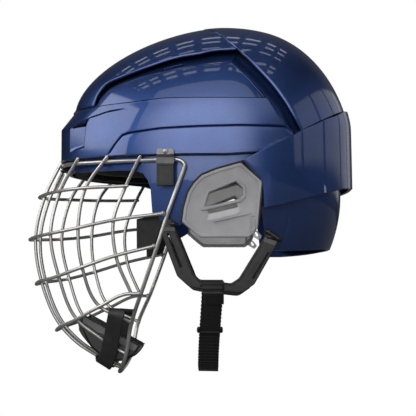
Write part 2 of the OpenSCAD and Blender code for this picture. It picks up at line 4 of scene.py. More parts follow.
import bmesh
import bpy
import numpy as np
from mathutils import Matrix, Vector


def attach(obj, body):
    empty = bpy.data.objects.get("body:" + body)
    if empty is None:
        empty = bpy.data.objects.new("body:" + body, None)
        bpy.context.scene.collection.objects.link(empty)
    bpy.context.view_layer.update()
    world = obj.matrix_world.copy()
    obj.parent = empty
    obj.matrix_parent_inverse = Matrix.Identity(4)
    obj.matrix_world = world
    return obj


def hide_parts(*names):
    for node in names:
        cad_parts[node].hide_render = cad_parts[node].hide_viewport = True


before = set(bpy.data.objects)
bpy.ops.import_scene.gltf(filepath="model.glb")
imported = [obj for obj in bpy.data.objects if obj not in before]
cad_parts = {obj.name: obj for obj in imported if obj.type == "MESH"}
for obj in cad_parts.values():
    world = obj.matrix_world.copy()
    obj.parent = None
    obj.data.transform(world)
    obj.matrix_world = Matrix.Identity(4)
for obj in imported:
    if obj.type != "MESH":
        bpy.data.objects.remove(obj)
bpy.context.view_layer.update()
MM = 0.001
scene = bpy.context.scene

# ---- Driving sizes, the same as the design's ----
SHELL_LEN = 280
SHELL_W = 215
CROWN_Z = 174.6
WALL = 3.2
SIDE_STEP = 7.5
RIM_D = 3.8
BAR_D = 3.2
WEB_W = 18
WEB_T = 1.6
YOKE_T = 2.6
SIDES = (("left", True), ("right", False))

# ---- Outer skin: flat ovals stacked from the ears to the crown ----
HUB = np.array([0.0, 10.0, 40.0])
FRONT_Y = -SHELL_LEN / 2
REAR_Y = SHELL_LEN / 2
WIDEST_Z = 40
LEDGE_LOW = 74
LEDGE_HIGH = 91
LEDGE_Y = FRONT_Y + 13.5
PLAN_POWER = 2.2
PLAN_K = 2 / PLAN_POWER


def lerp(a, b, t):
    return a + (b - a) * t


def clamp(v, lo, hi):
    return np.clip(v, lo, hi)


def ease(v):
    """Smooth step of v from 0 to 1."""
    v = clamp(v, 0, 1)
    return v * v * (3 - 2 * v)


def unit(v):
    v = np.asarray(v, float)
    return v / np.maximum(np.linalg.norm(v, axis=-1, keepdims=True), 1e-9)


def rise(z, start):
    return clamp((z - start) / (CROWN_Z - start), 0, 1)


def arch(t, a, b):
    return np.maximum(1 - t ** a, 0) ** b


def skin_front(z):
    z = np.asarray(z, float)
    chamfer = lerp(FRONT_Y, LEDGE_Y, clamp((z - LEDGE_LOW) / (LEDGE_HIGH - LEDGE_LOW), 0, 1))
    return np.where(z < LEDGE_HIGH, chamfer, lerp(22, LEDGE_Y, arch(rise(z, LEDGE_HIGH), 1.7, 0.588)))


def skin_rear(z):
    z = np.asarray(z, float)
    upper = lerp(25, REAR_Y - 1, arch(rise(z, 75), 1.5, 0.42)) + np.where(z < 75, (75 - z) / 65, 0)
    return np.where(z < 10, REAR_Y - 0.004 * (10 - z) ** 2, upper)


def skin_mid(z):
    return 15 + 8 * rise(z, WIDEST_Z) ** 2


def skin_half(z):
    z = np.asarray(z, float)
    lower = SHELL_W / 2 - 0.0014 * (WIDEST_Z - z) ** 2
    return np.where(z < WIDEST_Z, lower, SHELL_W / 2 * arch(rise(z, WIDEST_Z), PLAN_POWER, 1 / PLAN_POWER))


def reach(y, z):
    mid = skin_mid(z)
    return np.where(y < mid, (mid - y) / (mid - skin_front(z)), (y - mid) / (skin_rear(z) - mid))


def side_x(y, z):
    return skin_half(z) * np.maximum(1 - np.maximum(reach(y, z), 0) ** PLAN_POWER, 0) ** (1 / PLAN_POWER)


def side(yz):
    """The point of the left skin at y and z."""
    yz = np.asarray(yz, float)
    y, z = yz[..., 0], yz[..., 1]
    return np.stack([side_x(y, z), y, z], -1)


def turn_of(y, z):
    """Angle round the skin in degrees: 90 at the front, 0 at the side, -90 at the rear."""
    angle = np.degrees(np.arcsin(clamp(reach(y, z), 0, 1) ** (1 / PLAN_K)))
    return np.where(y < skin_mid(z), angle, -angle)


def plan(turn, z, front=None):
    """The point of the left skin at an angle and a height; front overrides the skin's front end."""
    turn, z = np.broadcast_arrays(np.asarray(turn, float), np.asarray(z, float))
    front = skin_front(z) if front is None else front
    s = np.abs(np.sin(np.radians(turn))) ** PLAN_K
    far = np.where(turn > 0, front, skin_rear(z))
    x = skin_half(z) * np.maximum(np.cos(np.radians(turn)), 0) ** PLAN_K
    return np.stack([x, lerp(skin_mid(z), far, s), z], -1)


def within(p):
    x, y, z = p[..., 0], p[..., 1], p[..., 2]
    flat = (np.abs(x) / np.maximum(skin_half(z), 0.01)) ** PLAN_POWER + np.abs(reach(y, z)) ** PLAN_POWER
    return (z < CROWN_Z) & (flat < 1)


def hub_of(p):
    z = np.minimum(p[..., 2], HUB[2])
    return np.stack([0 * z, 0 * z + HUB[1], z], -1)


def outward(p):
    """Unit vector from the hub to p."""
    return unit(p - hub_of(p))


def on_skin(p, depth=0.0):
    """The point of the skin in line with p, sunk by depth."""
    c = hub_of(p)
    u = unit(p - c)
    lo = np.full(p.shape[:-1], 20.0)
    hi = np.full(p.shape[:-1], 220.0)
    for _ in range(24):
        half = (lo + hi) / 2
        inside = within(c + u * half[..., None])
        lo = np.where(inside, half, lo)
        hi = np.where(inside, hi, half)
    return c + u * ((lo + hi) / 2 - depth)[..., None]


def curve_points(points, count):
    """count + 1 points, evenly spaced by index, on a smooth curve through the given ones."""
    p = np.asarray(points, float)
    n = len(p) - 1
    k = np.linspace(0, n, count + 1)
    i = np.minimum(np.floor(k).astype(int), n - 1)
    f = (k - i)[:, None]
    a, b, c, d = p[np.maximum(i - 1, 0)], p[i], p[i + 1], p[np.minimum(i + 2, n)]
    bend, twist = 2 * a - 5 * b + 4 * c - d, 3 * b - a - 3 * c + d
    return 0.5 * (2 * b + (c - a) * f + bend * f ** 2 + twist * f ** 3)


def wire_points(points, spacing):
    """A smooth curve through the given points, whose bends don't overshoot where a span is short."""
    p = np.asarray(points, float)
    h = np.linalg.norm(np.diff(p, axis=0), axis=1)[:, None]
    slope = np.diff(p, axis=0) / h
    mid = (slope[:-1] * h[1:] + slope[1:] * h[:-1]) / (h[:-1] + h[1:])
    m = np.concatenate([slope[:1], mid, slope[-1:]])
    out = []
    for i in range(len(h)):
        t = np.linspace(0, 1, max(int(h[i, 0] / spacing), 2) + 1)[:, None][(1 if i else 0):]
        out.append((2 * t ** 3 - 3 * t ** 2 + 1) * p[i] + (t ** 3 - 2 * t ** 2 + t) * h[i] * m[i]
                   + (3 * t ** 2 - 2 * t ** 3) * p[i + 1] + (t ** 3 - t ** 2) * h[i] * m[i + 1])
    return np.concatenate(out)


def line_points(points, t):
    """Points at t, from 0 to 1 by index, on straight lines between the given ones."""
    p = np.asarray(points, float)
    k = clamp(np.asarray(t, float), 0, 1) * (len(p) - 1)
    i = np.minimum(np.floor(k).astype(int), len(p) - 2)
    return lerp(p[i], p[i + 1], (k - i)[..., None])


def even(points, spacing):
    """The polyline resampled at about that spacing, its ends kept."""
    p = np.asarray(points, float)
    run = np.concatenate([[0], np.cumsum(np.linalg.norm(np.diff(p, axis=0), axis=1))])
    s = np.linspace(0, run[-1], max(int(round(run[-1] / spacing)), 2) + 1)
    return np.stack([np.interp(s, run, p[:, k]) for k in range(p.shape[1])], -1)


def mirror(p):
    return np.asarray(p, float) * np.array([-1, 1, 1])


def unit_grid(nu, nv):
    """Two grids, u and v, that each run from 0 to 1."""
    return np.meshgrid(np.linspace(0, 1, nu), np.linspace(0, 1, nv), indexing="ij")


# ---- Meshes ----
def added(name, data):
    ob = bpy.data.objects.new(name, data)
    scene.collection.objects.link(ob)
    return ob


def faced_out(mesh, merge=0.0):
    """Joins points closer than merge, in metres, and turns every face outwards."""
    bm = bmesh.new()
    bm.from_mesh(mesh)
    bmesh.ops.remove_doubles(bm, verts=bm.verts, dist=merge)
    bmesh.ops.recalc_face_normals(bm, faces=bm.faces)
    bm.to_mesh(mesh)
    bm.free()


def sided(ob, left):
    """The object itself for the left side, or mirrored for the right one."""
    if not left:
        for v in ob.data.vertices:
            v.co.x = -v.co.x
        ob.data.flip_normals()
    return ob


def mesh_object(name, verts, faces, bevel_edges=(), bevel=0.0):
    """A smooth closed mesh in metres from points in millimetres; bevel_edges are rounded by bevel."""
    mesh = bpy.data.meshes.new(name)
    mesh.from_pydata((np.asarray(verts, float) * MM).tolist(), [], faces)
    bm = bmesh.new()
    bm.from_mesh(mesh)
    if len(bevel_edges):
        layer = bm.edges.layers.float.new("bevel_weight_edge")
        bm.verts.ensure_lookup_table()
        for a, b in bevel_edges:
            edge = bm.edges.get((bm.verts[a], bm.verts[b]))
            if edge is not None:
                edge[layer] = 1.0
    loose = [v for v in bm.verts if not v.link_faces]
    bmesh.ops.delete(bm, geom=loose, context="VERTS")
    bmesh.ops.recalc_face_normals(bm, faces=bm.faces)
    bm.to_mesh(mesh)
    bm.free()
    mesh.shade_smooth()
    ob = added(name, mesh)
    if bevel:
        add_bevel(ob, bevel)
    return ob


def add_bevel(ob, width):
    """Rounds the edges that carry a bevel weight."""
    mod = ob.modifiers.new("edges", "BEVEL")
    mod.width = width * MM
    mod.segments = 3
    mod.limit_method = "WEIGHT"
    mod.use_clamp_overlap = True
    ob.modifiers.new("normals", "WEIGHTED_NORMAL").keep_sharp = True


def grid_solid(name, outer, inner, keep=None, bevel=0.7):
    """A closed shell between two grids of points; cells where keep is false are left open."""
    nu, nv = outer.shape[:2]
    keep = np.ones((nu - 1, nv - 1), bool) if keep is None else keep
    ids = np.arange(nu * nv).reshape(nu, nv)
    n = nu * nv
    faces, marked = [], []

    def wall(a, b):
        faces.append((a, b, b + n, a + n))
        marked.extend([(a, b), (a + n, b + n)])

    for i in range(nu - 1):
        for j in range(nv - 1):
            if not keep[i, j]:
                continue
            a, b, c, d = ids[i, j], ids[i + 1, j], ids[i + 1, j + 1], ids[i, j + 1]
            faces.append((a, b, c, d))
            faces.append((d + n, c + n, b + n, a + n))
            if j == 0 or not keep[i, j - 1]:
                wall(a, b)
            if j == nv - 2 or not keep[i, j + 1]:
                wall(c, d)
            if i == 0 or not keep[i - 1, j]:
                wall(d, a)
            if i == nu - 2 or not keep[i + 1, j]:
                wall(b, c)
    faces = [tuple(int(v) for v in f) for f in faces]
    verts = np.concatenate([outer.reshape(-1, 3), inner.reshape(-1, 3)])
    return mesh_object(name, verts, faces, marked, bevel)


def under_skin(name, skin, outer, inner, keep=None, bevel=0.7):
    """A solid between two depths under a grid of skin points."""
    w = outward(skin)
    high, low = [np.broadcast_to(depth, skin.shape[:2])[..., None] for depth in (outer, inner)]
    return grid_solid(name, skin - w * high, skin - w * low, keep, bevel)


def both_sides(half):
    """The whole grid from its left half, whose first column lies on the middle."""
    return np.concatenate([half[::-1], mirror(half[1:])])


def frames_along(route, side_dir, closed=False):
    """Directions along a route and two normals carried along it without twisting."""
    p = np.asarray(route, float)
    if closed:
        along = unit(np.roll(p, -1, 0) - np.roll(p, 1, 0))
    else:
        along = unit(np.gradient(p, axis=0))
    a = np.zeros_like(p)
    last = np.asarray(side_dir, float)
    for i, d in enumerate(along):
        last = unit(last - d * (last @ d))
        a[i] = last
    return along, a, np.cross(along, a)


def tube(name, route, diameter, side_dir=(0, 0, 1), sides=14, closed=False):
    """A round wire along a route, with rounded ends."""
    p = np.asarray(route, float)
    along, a, b = frames_along(p, side_dir, closed)
    radii = np.full(len(p), diameter / 2)
    if not closed:
        steps = np.radians([0, 30, 60, 80])
        cap = diameter / 2 * np.sin(steps)
        size = diameter / 2 * np.cos(steps)
        head = p[0] - along[0] * cap[::-1, None]
        tail = p[-1] + along[-1] * cap[:, None]
        p = np.concatenate([head, p[1:-1], tail])
        radii = np.concatenate([size[::-1], radii[1:-1], size])
        a = np.concatenate([np.repeat(a[:1], 4, 0), a[1:-1], np.repeat(a[-1:], 4, 0)])
        b = np.concatenate([np.repeat(b[:1], 4, 0), b[1:-1], np.repeat(b[-1:], 4, 0)])
    turn = np.linspace(0, 2 * np.pi, sides, endpoint=False)
    ring = np.cos(turn)[None, :, None] * a[:, None] + np.sin(turn)[None, :, None] * b[:, None]
    points = p[:, None] + ring * radii[:, None, None]
    return rings_object(name, points, closed)


def rings_object(name, rings, closed=False):
    """A solid skinned over rings of points, its ends filled."""
    n, m = rings.shape[:2]
    faces = []
    for i in range(n if closed else n - 1):
        k = (i + 1) % n
        for j in range(m):
            q = (j + 1) % m
            faces.append((i * m + j, i * m + q, k * m + q, k * m + j))
    if not closed:
        faces.append(tuple(range(m)))
        faces.append(tuple((n - 1) * m + j for j in range(m)))
    return mesh_object(name, rings.reshape(-1, 3), faces)


def rounded_box_section(w, t, r):
    """Points round a rectangle w by t with corners of radius r, as pairs."""
    out = []
    for cx, cy, start in ((1, 1, 0), (-1, 1, 90), (-1, -1, 180), (1, -1, 270)):
        for k in range(5):
            turn = math.radians(start + 22.5 * k)
            out.append((cx * (w / 2 - r) + r * math.cos(turn), cy * (t / 2 - r) + r * math.sin(turn)))
    return np.array(out)


def ribbon(name, route, w, t, wide, swell=None, edge=0.5):
    """A flat band along a route. swell gives, per point, a factor for its thickness and its width."""
    along, a, b = frames_along(route, wide)
    section = rounded_box_section(w, t, min(edge, t / 2.02))
    thick, width = (np.ones(len(route)), np.ones(len(route))) if swell is None else swell
    rings = (np.asarray(route, float)[:, None] + section[None, :, 0, None] * width[:, None, None] * a[:, None]
             + section[None, :, 1, None] * thick[:, None, None] * b[:, None])
    return rings_object(name, rings)


def rounded(outline, radius):
    """An outline with its corners rounded; radius is one number or one for each corner."""
    p = [np.array(q, float) for q in outline]
    radii = [radius] * len(p) if np.isscalar(radius) else radius
    out = []
    for i, q in enumerate(p):
        u, v = unit(p[i - 1] - q), unit(p[(i + 1) % len(p)] - q)
        half = math.acos(float(clamp(u @ v, -1, 1))) / 2
        reach_in = min(radii[i] / math.tan(half), 0.45 * np.linalg.norm(p[i - 1] - q),
                       0.45 * np.linalg.norm(p[(i + 1) % len(p)] - q))
        a, b = q + u * reach_in, q + v * reach_in
        for f in (0, 0.25, 0.5, 0.75, 1):
            out.append((1 - f) ** 2 * a + 2 * f * (1 - f) * q + f * f * b)
    return out


def box(y0, z0, y1, z1, radius):
    """A rounded rectangle between two opposite corners."""
    return rounded([[y0, z0], [y1, z0], [y1, z1], [y0, z1]], radius)


def plate(name, outline, holes, x0, x1, edge=0.6, left=True):
    """A flat plate with rounded edges, drawn in y and z and standing between x0 and x1."""
    curve = bpy.data.curves.new(name, "CURVE")
    curve.dimensions = "2D"
    curve.fill_mode = "BOTH"
    edge = min(edge, (x1 - x0) / 2 - 0.02)
    curve.extrude = ((x1 - x0) / 2 - edge) * MM
    curve.bevel_depth = edge * MM
    curve.offset = -edge * MM
    curve.bevel_resolution = 2
    for points in [outline, *holes]:
        spline = curve.splines.new("POLY")
        spline.points.add(len(points) - 1)
        for q, point in zip(points, spline.points):
            point.co = (q[0] * MM, q[1] * MM, 0, 1)
        spline.use_cyclic_u = True
    helper = added(name + "_curve", curve)
    bpy.context.view_layer.update()
    mesh = bpy.data.meshes.new_from_object(helper.evaluated_get(bpy.context.evaluated_depsgraph_get()))
    bpy.data.objects.remove(helper)
    bpy.data.curves.remove(curve)
    middle = (x0 + x1) / 2
    sign = 1 if left else -1
    for v in mesh.vertices:
        y, z, x = v.co
        v.co = (sign * (middle * MM + x), y, z)
    faced_out(mesh, 0.02 * MM)
    mesh.name = name
    mesh.materials.clear()
    mesh.shade_smooth()
    mesh.set_sharp_from_angle(angle=math.radians(50))
    ob = added(name, mesh)
    ob.modifiers.new("normals", "WEIGHTED_NORMAL").keep_sharp = True
    return ob


def piece(ob, body, slot, material, *nodes):
    """Gives a new object its material and its body, and hides the CAD nodes that it stands for; the slot is
    not used.
    """
    ob.data.materials.clear()
    ob.data.materials.append(material)
    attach(ob, body)
    if nodes:
        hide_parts(*nodes)
    return ob


def joined(name, objects):
    """One mesh object from several."""
    mesh = bpy.data.meshes.new(name)
    bm = bmesh.new()
    graph = bpy.context.evaluated_depsgraph_get()
    for ob in objects:
        part = bpy.data.meshes.new_from_object(ob.evaluated_get(graph))
        bm.from_mesh(part)
        bpy.data.meshes.remove(part)
        bpy.data.objects.remove(ob)
    bm.to_mesh(mesh)
    bm.free()
    mesh.materials.clear()
    mesh.shade_smooth()
    return added(name, mesh)


# ---- Materials ----
class Shader:
    """A node material built round one Principled shader."""

    def __init__(self, name, **sockets):
        self.material = bpy.data.materials.new(name)
        self.material.use_nodes = True
        self.tree = self.material.node_tree
        self.bsdf = self.tree.nodes["Principled BSDF"]
        for key, value in sockets.items():
            self.bsdf.inputs[key.replace("_", " ")].default_value = value
        self.place = self.tree.nodes.new("ShaderNodeTexCoord").outputs["Object"]

    def node(self, kind, **settings):
        made = self.tree.nodes.new("ShaderNode" + kind)
        for key, value in settings.items():
            if key in made.inputs:
                made.inputs[key].default_value = value
            else:
                setattr(made, key, value)
        return made

    def link(self, a, b):
        self.tree.links.new(a, b)

    def noise(self, scale, detail=3.0):
        made = self.node("TexNoise", Scale=scale, Detail=detail)
        self.link(self.place, made.inputs["Vector"])
        return made.outputs["Fac"]

    def bands(self, direction, scale, distortion, **settings):
        made = self.node("TexWave", bands_direction=direction, Scale=scale, Distortion=distortion, **settings)
        self.link(self.place, made.inputs["Vector"])
        return made.outputs["Fac"]

    def cells(self, scale):
        made = self.node("TexVoronoi", Scale=scale)
        self.link(self.place, made.inputs["Vector"])
        return made.outputs["Distance"], made.outputs["Color"]

    def ramp(self, value, low, high, start=0.3, end=0.7):
        """The value from start to end mapped to low to high: numbers, or colours with alpha."""
        if np.isscalar(low):
            made = self.node("MapRange")
            for key, v in (("From Min", start), ("From Max", end), ("To Min", low), ("To Max", high)):
                made.inputs[key].default_value = v
            self.link(value, made.inputs["Value"])
            return made.outputs["Result"]
        made = self.node("ValToRGB")
        made.color_ramp.elements[0].position, made.color_ramp.elements[0].color = start, low
        made.color_ramp.elements[1].position, made.color_ramp.elements[1].color = end, high
        self.link(value, made.inputs["Fac"])
        return made.outputs["Color"]

    def bump(self, value, distance, strength=1.0, after=None):
        made = self.node("Bump", Strength=strength, Distance=distance * MM)
        self.link(value, made.inputs["Height"])
        if after is not None:
            self.link(after, made.inputs["Normal"])
        return made.outputs["Normal"]

    def set(self, socket, value):
        self.link(value, self.bsdf.inputs[socket])


def grey(v):
    return (v, v, v * 1.03, 1)


def navy_lacquer():
    s = Shader("navy_lacquer", Metallic=0.8, Coat_Weight=1.0, Coat_Roughness=0.02, Coat_IOR=1.6)
    _, flake = s.cells(1600)
    fleck = s.node("SeparateColor")
    s.link(flake, fleck.inputs["Color"])
    dim, bright = (0.033, 0.077, 0.262, 1), (0.041, 0.093, 0.305, 1)
    s.set("Base Color", s.ramp(fleck.outputs["Red"], dim, bright, 0.0, 1.0))
    s.set("Roughness", s.ramp(s.noise(60), 0.36, 0.44))
    s.set("Normal", s.bump(flake, 0.02, 0.04))
    return s.material


def mottled(name, colour, rough, grain, detail=3.0, **sockets):
    """Colour, roughness and bump, each (scale, low, high) or (scale, distance, strength) of a noise."""
    s = Shader(name, **sockets)
    if colour:
        s.set("Base Color", s.ramp(s.noise(colour[0]), *colour[1:]))
    s.set("Roughness", s.ramp(s.noise(rough[0]), *rough[1:]))
    s.set("Normal", s.bump(s.noise(grain[0], detail), *grain[1:]))
    return s.material


def moulded_black(name, base, rough, grain=1400):
    tone = (90, grey(base * 0.8), grey(base * 1.35))
    return mottled(name, tone, (260, rough - 0.06, rough + 0.08), (grain, 0.05, 0.35), detail=2)


def closed_cell_foam(name, base):
    s = Shader(name, Sheen_Weight=0.1)
    cell, _ = s.cells(900)
    s.set("Base Color", s.ramp(cell, grey(base * 0.7), grey(base * 1.4), 0.1, 0.6))
    s.set("Roughness", s.ramp(s.noise(200), 0.72, 0.9))
    s.set("Normal", s.bump(s.noise(120), 0.3, 0.4, s.bump(cell, 0.12, 0.5)))
    return s.material


def brushed_knit():
    s = Shader("comfort_fabric", Sheen_Weight=0.5, Sheen_Roughness=0.4, Roughness=0.85)
    rows = s.bands("Z", 260.0, 1.5, Detail=1.0, **{"Detail Scale": 3.0})
    s.set("Base Color", s.ramp(rows, grey(0.16), grey(0.27), 0.1, 0.9))
    s.set("Normal", s.bump(s.bands("X", 200.0, 1.0), 0.15, 0.5, s.bump(rows, 0.2, 0.6)))
    return s.material


def ribbed_nylon():
    s = Shader("webbing_fabric", Sheen_Weight=0.25, Sheen_Roughness=0.4, Roughness=0.62)
    weave = s.bands("Y", 420.0, 0.6)
    s.set("Base Color", s.ramp(weave, grey(0.005), grey(0.015), 0.1, 0.9))
    s.set("Normal", s.bump(s.noise(1200), 0.05, 0.4, s.bump(weave, 0.12, 0.5)))
    return s.material


NAVY = navy_lacquer()
WIRE = mottled("cage_wire", None, (120, 0.26, 0.36), (500, 0.02, 0.08),
               Metallic=0.8, Base_Color=(0.74, 0.73, 0.71, 1))
WELD = mottled("weld_metal", (400, (0.36, 0.35, 0.34, 1), (0.60, 0.59, 0.57, 1)), (600, 0.34, 0.5),
               (900, 0.12, 0.6), Metallic=0.8)
STEEL = mottled("screw_steel", None, (800, 0.25, 0.42), (1500, 0.03, 0.3),
                Metallic=1.0, Base_Color=(0.60, 0.60, 0.61, 1))
CLEAR = mottled("clear_plastic", (40, grey(0.48), grey(0.62)), (120, 0.14, 0.26), (260, 0.05, 0.25),
                Alpha=0.6, IOR=1.49, Coat_Weight=0.4, Coat_Roughness=0.08)
CUP = mottled("cup_plastic", (50, grey(0.008), grey(0.016)), (200, 0.24, 0.36), (500, 0.05, 0.25),
              Coat_Weight=0.3, Coat_Roughness=0.1, IOR=1.49)
BLACK = moulded_black("black_plastic", 0.014, 0.40)
PLATE = moulded_black("plate_plastic", 0.004, 0.55, 900)
SOFT_BLACK = moulded_black("soft_black_plastic", 0.034, 0.5, 1000)
YOKE = moulded_black("yoke_elastomer", 0.012, 0.36, 700)
# Grey of the chin cup's welt, also used for the painted shade under the ear guard's hole and the painted
# highlight on the side clip's flap.
GREY_PLASTIC_AND_PAINTED_LIGHT = moulded_black("grey_plastic_and_painted_light", 0.16, 0.35, 900)
GREY_RUBBER = moulded_black("grey_elastomer", 0.085, 0.36, 900)
FOAM = closed_cell_foam("liner_foam", 0.022)
CUP_FOAM = closed_cell_foam("cup_foam", 0.035)
KNIT = brushed_knit()
NYLON = ribbed_nylon()

# ---- Edges of the panels, as [y, z] on the left side ----
FRONT_LOW = [[-140, 31], [-134, 31], [-124, 30], [-110, 29.5], [-88, 29], [-70, 28], [-61, 25.5],
             [-56, 19], [-53.4, 12], [-51.8, -10], [-47, -16.5], [-40, -19.5], [-27, -23], [-22.5, -20],
             [-20.5, -7], [-16.5, 7], [-10.5, 16.5], [-3, 24], [11, 29.6], [34, 35.5], [52, 45.5],
             [68, 53.5], [82.2, 61]]
FRONT_TOP = [[-126.5, 91], [-115, 90.5], [-105.6, 90], [-86, 90.5], [-62, 91.3], [-40, 93.5], [-12, 93.5],
             [15, 93.3], [57, 93.5], [70.1, 71], [75, 68.6], [82.2, 61.4]]
LIP_FRONT = [[-105.6, 91.5], [-101.6, 103], [-93.3, 113], [-76, 119.5], [-51, 128], [-26.4, 135.5],
             [-4.3, 139.2], [8.8, 142.3], [28.9, 143.7]]
CROWN_MID_FRONT = [[-126, 92.5], [-121.5, 109], [-107, 125], [-85, 142], [-62, 155], [-40, 163.8],
                   [-22, 168.7], [-14, 170.4], [-5, 172]]
LIP_REAR = [[29.9, 143.5], [37, 137], [44, 130], [52.3, 121.3], [60.2, 112.3], [66, 105], [71, 98],
            [76, 90.6], [80.6, 82.8], [85.3, 74.6], [89.9, 66]]
CROWN_MID_REAR = [[-4.4, 172], [25, 174.5], [50, 173], [68.4, 168.8], [91.7, 154], [115, 131],
                  [127, 114], [135.5, 93]]
BAND_TOP = [[34.6, 36], [53, 46], [68, 54], [82.2, 61], [90.2, 66], [111, 77], [130, 88.5], [137.9, 92.5]]
BAND_LOW = [[54, -7], [62, -5.5], [71.7, -3.3], [82, 0], [92.6, 3], [109.6, 8.1], [127, 13.8],
            [139.9, 17.7]]
NAPE_LOW = [[58, -38], [61, -42], [66, -44.8], [79, -45], [93, -44.5], [108, -43.5], [121, -42],
            [129.9, -41]]
PANEL_BACK = [[24.4, 129.7], [32, 122], [39.8, 114], [48, 104], [56.5, 94], [63, 82], [70, 71],
              [79, 64.5]]
VENT_BACK = [[29, 143], [38, 134.5], [46, 127.5], [55, 117.5], [66, 105], [72.5, 97], [77, 89.5],
             [87, 69]]
GROOVE_LINE = [[-90, 41.3], [-83.2, 52.1], [-76.4, 60.6], [-69.7, 62.4], [-41.7, 65.5], [-3.9, 66.9],
               [30.7, 67.8], [82, 67.6]]
SCOOP_FRONT, SCOOP_BACK = 65.8, 53.8
SCOOP_DEEP, SCOOP_OPEN = 6.5, 5.0
GROOVE_DEEP = 3.0


def by_turn(points):
    """Heights of an edge's points against their angle round the skin, ready for np.interp."""
    p = np.asarray(points, float)
    turn = turn_of(p[:, 0], p[:, 1])
    if p[0, 0] <= FRONT_Y + 14:
        turn[0] = 90
    return turn[::-1], p[::-1, 1]


# ---- Front shell ----
def smooth_front(turn, z):
    """Front end of the skin with the forehead chamfer faded out towards the side."""
    soft = FRONT_Y + 13.5 * clamp((z - 48) / (LEDGE_HIGH - 48), 0, 1) ** 1.8
    fade = ease((turn - 49) / 9)
    return np.where(z < LEDGE_HIGH, lerp(soft, skin_front(z), fade), skin_front(z))


def front_turns(low_t, top_t):
    """Angles of the front shell's columns: even ones, the outline's own and those at the scoop's walls."""
    end = float(low_t.min())
    walls = [90, 66.6, SCOOP_FRONT, 65.0, SCOOP_BACK + 0.22, SCOOP_BACK, SCOOP_BACK - 0.25]
    turns = np.unique(np.round(np.concatenate([np.arange(end, 90, 0.75), low_t, top_t, walls]), 3))[::-1]
    turns = turns[(turns >= end) & (turns <= 90)]
    return turns[np.concatenate([[True], -np.diff(turns) > 0.1])]


def front_rows(turns, low, top):
    """Height and depth of the front shell's rows at every column, and which row is the scoop's mouth."""
    groove_t, groove_z = by_turn(GROOVE_LINE)
    y_of = plan(turns, 41)[..., 1]
    step = 41.3 + 1.7 * clamp((-125 - y_of) / 15, 0, 1) + 2 * clamp((y_of - 20) / 30, 0, 1)
    groove = np.where(turns > groove_t.max(), step + 1.6, np.interp(turns, groove_t, groove_z))
    behind = lerp(groove, 82, lerp(0.3, 0.38, ease((SCOOP_BACK - turns) / 14)))
    scoop_low = np.interp(turns, [SCOOP_BACK, SCOOP_FRONT], [54, 49.5])
    scoop_low = np.where(turns < SCOOP_BACK, behind, scoop_low)
    slit = np.interp(turns, [-40, 30, 44, SCOOP_BACK, SCOOP_FRONT, 90], [84, 86.5, 84.2, 80, 72, 74])
    slit_fade = ease((turns - 34) / 10) * (turns < SCOOP_BACK)
    groove_fade = ease((groove_t.max() - turns) / 2.0)
    side_fade = np.where(turns > -15, 1.0, 0.02)
    under = SIDE_STEP * side_fade
    scoop = clamp((SCOOP_FRONT - turns) / (SCOOP_FRONT - SCOOP_BACK), 0, 1) * (turns > SCOOP_BACK + 0.1)
    scoop_depth = SCOOP_DEEP * scoop
    opening = 1.0 + SCOOP_OPEN * scoop
    zero = np.zeros_like(turns)
    rows = []

    def row(z, depth, name=""):
        rows.append((z + zero, depth + zero, name))

    def span(start, end, shares, depth):
        for share in shares:
            row(lerp(start, end, share), depth)

    span(low, step - 0.9, np.arange(6) / 5, under)
    row(step - 0.3, under)
    row(step - 0.05, under * 0.12 + 0.5 * side_fade)
    row(step + 0.35, 0.14 * side_fade)
    row(step + 1.0, 0)
    for share in np.arange(1, 6) / 6:
        row(lerp(step + 1.0, groove - 1.1, share), groove_fade * share)
    row(groove - 1.1, groove_fade)
    row(groove - 0.75, 1.25 * groove_fade)
    row(groove - 0.62, GROOVE_DEEP * groove_fade)
    row(groove + 0.55, GROOVE_DEEP * groove_fade)
    row(groove + 0.68, 0.22 * groove_fade)
    row(groove + 1.15, 0)
    span(groove + 1.15, scoop_low - 0.4, (1 / 3, 2 / 3), 0)
    row(scoop_low - 0.5, 0)
    row(scoop_low + 0.1, scoop_depth)
    span(scoop_low + 0.1, slit - opening - 0.5, np.arange(1, 7) / 7, scoop_depth)
    row(slit - opening, scoop_depth, "mouth")
    row(slit - 0.75, lerp(scoop_depth, 0.22, slit_fade))
    row(slit - 0.62, lerp(scoop_depth, GROOVE_DEEP, slit_fade))
    row(slit + 0.45, GROOVE_DEEP * slit_fade)
    row(slit + 0.58, 0.22 * slit_fade)
    row(slit + 1.1, 0)
    span(slit + 1.1, top, np.arange(1, 5) / 5, 0)
    row(top, 0)

    z = np.stack([r[0] for r in rows], 1)
    depth = np.stack([r[1] for r in rows], 1)
    gap = np.minimum(0.05, (top - low) / len(rows) / 3)
    for k in range(1, len(rows)):
        z[:, k] = np.maximum(z[:, k], z[:, k - 1] + gap)
    z[:, -1] = top
    for k in range(len(rows) - 2, -1, -1):
        z[:, k] = np.minimum(z[:, k], z[:, k + 1] - gap)
    return z, depth, [r[2] for r in rows].index("mouth")


def front_shell():
    low_t, low_z = by_turn(FRONT_LOW)
    top_t, top_z = by_turn(FRONT_TOP)
    turns = front_turns(low_t, top_t)
    z, depth, mouth = front_rows(turns, np.interp(turns, low_t, low_z), np.interp(turns, top_t, top_z))
    t = turns[:, None] + 0 * z
    skin = plan(t, z, smooth_front(t, z))
    w = outward(skin)
    outer = skin - w * depth[..., None]
    inner = skin - w * (depth + WALL)[..., None]
    outer[0, :, 0] = inner[0, :, 0] = 0
    half_keep = np.ones((z.shape[0] - 1, z.shape[1] - 1), bool)
    inside = (turns[:-1] <= SCOOP_FRONT - 1.4) & (turns[1:] >= SCOOP_BACK + 0.1)
    half_keep[inside, mouth:mouth + 2] = False
    keep = np.concatenate([half_keep[::-1], half_keep])
    ob = grid_solid("front_shell_skin", both_sides(outer), both_sides(inner), keep, bevel=0.6)
    piece(ob, "shell", "shell_navy", NAVY, "front_shell")


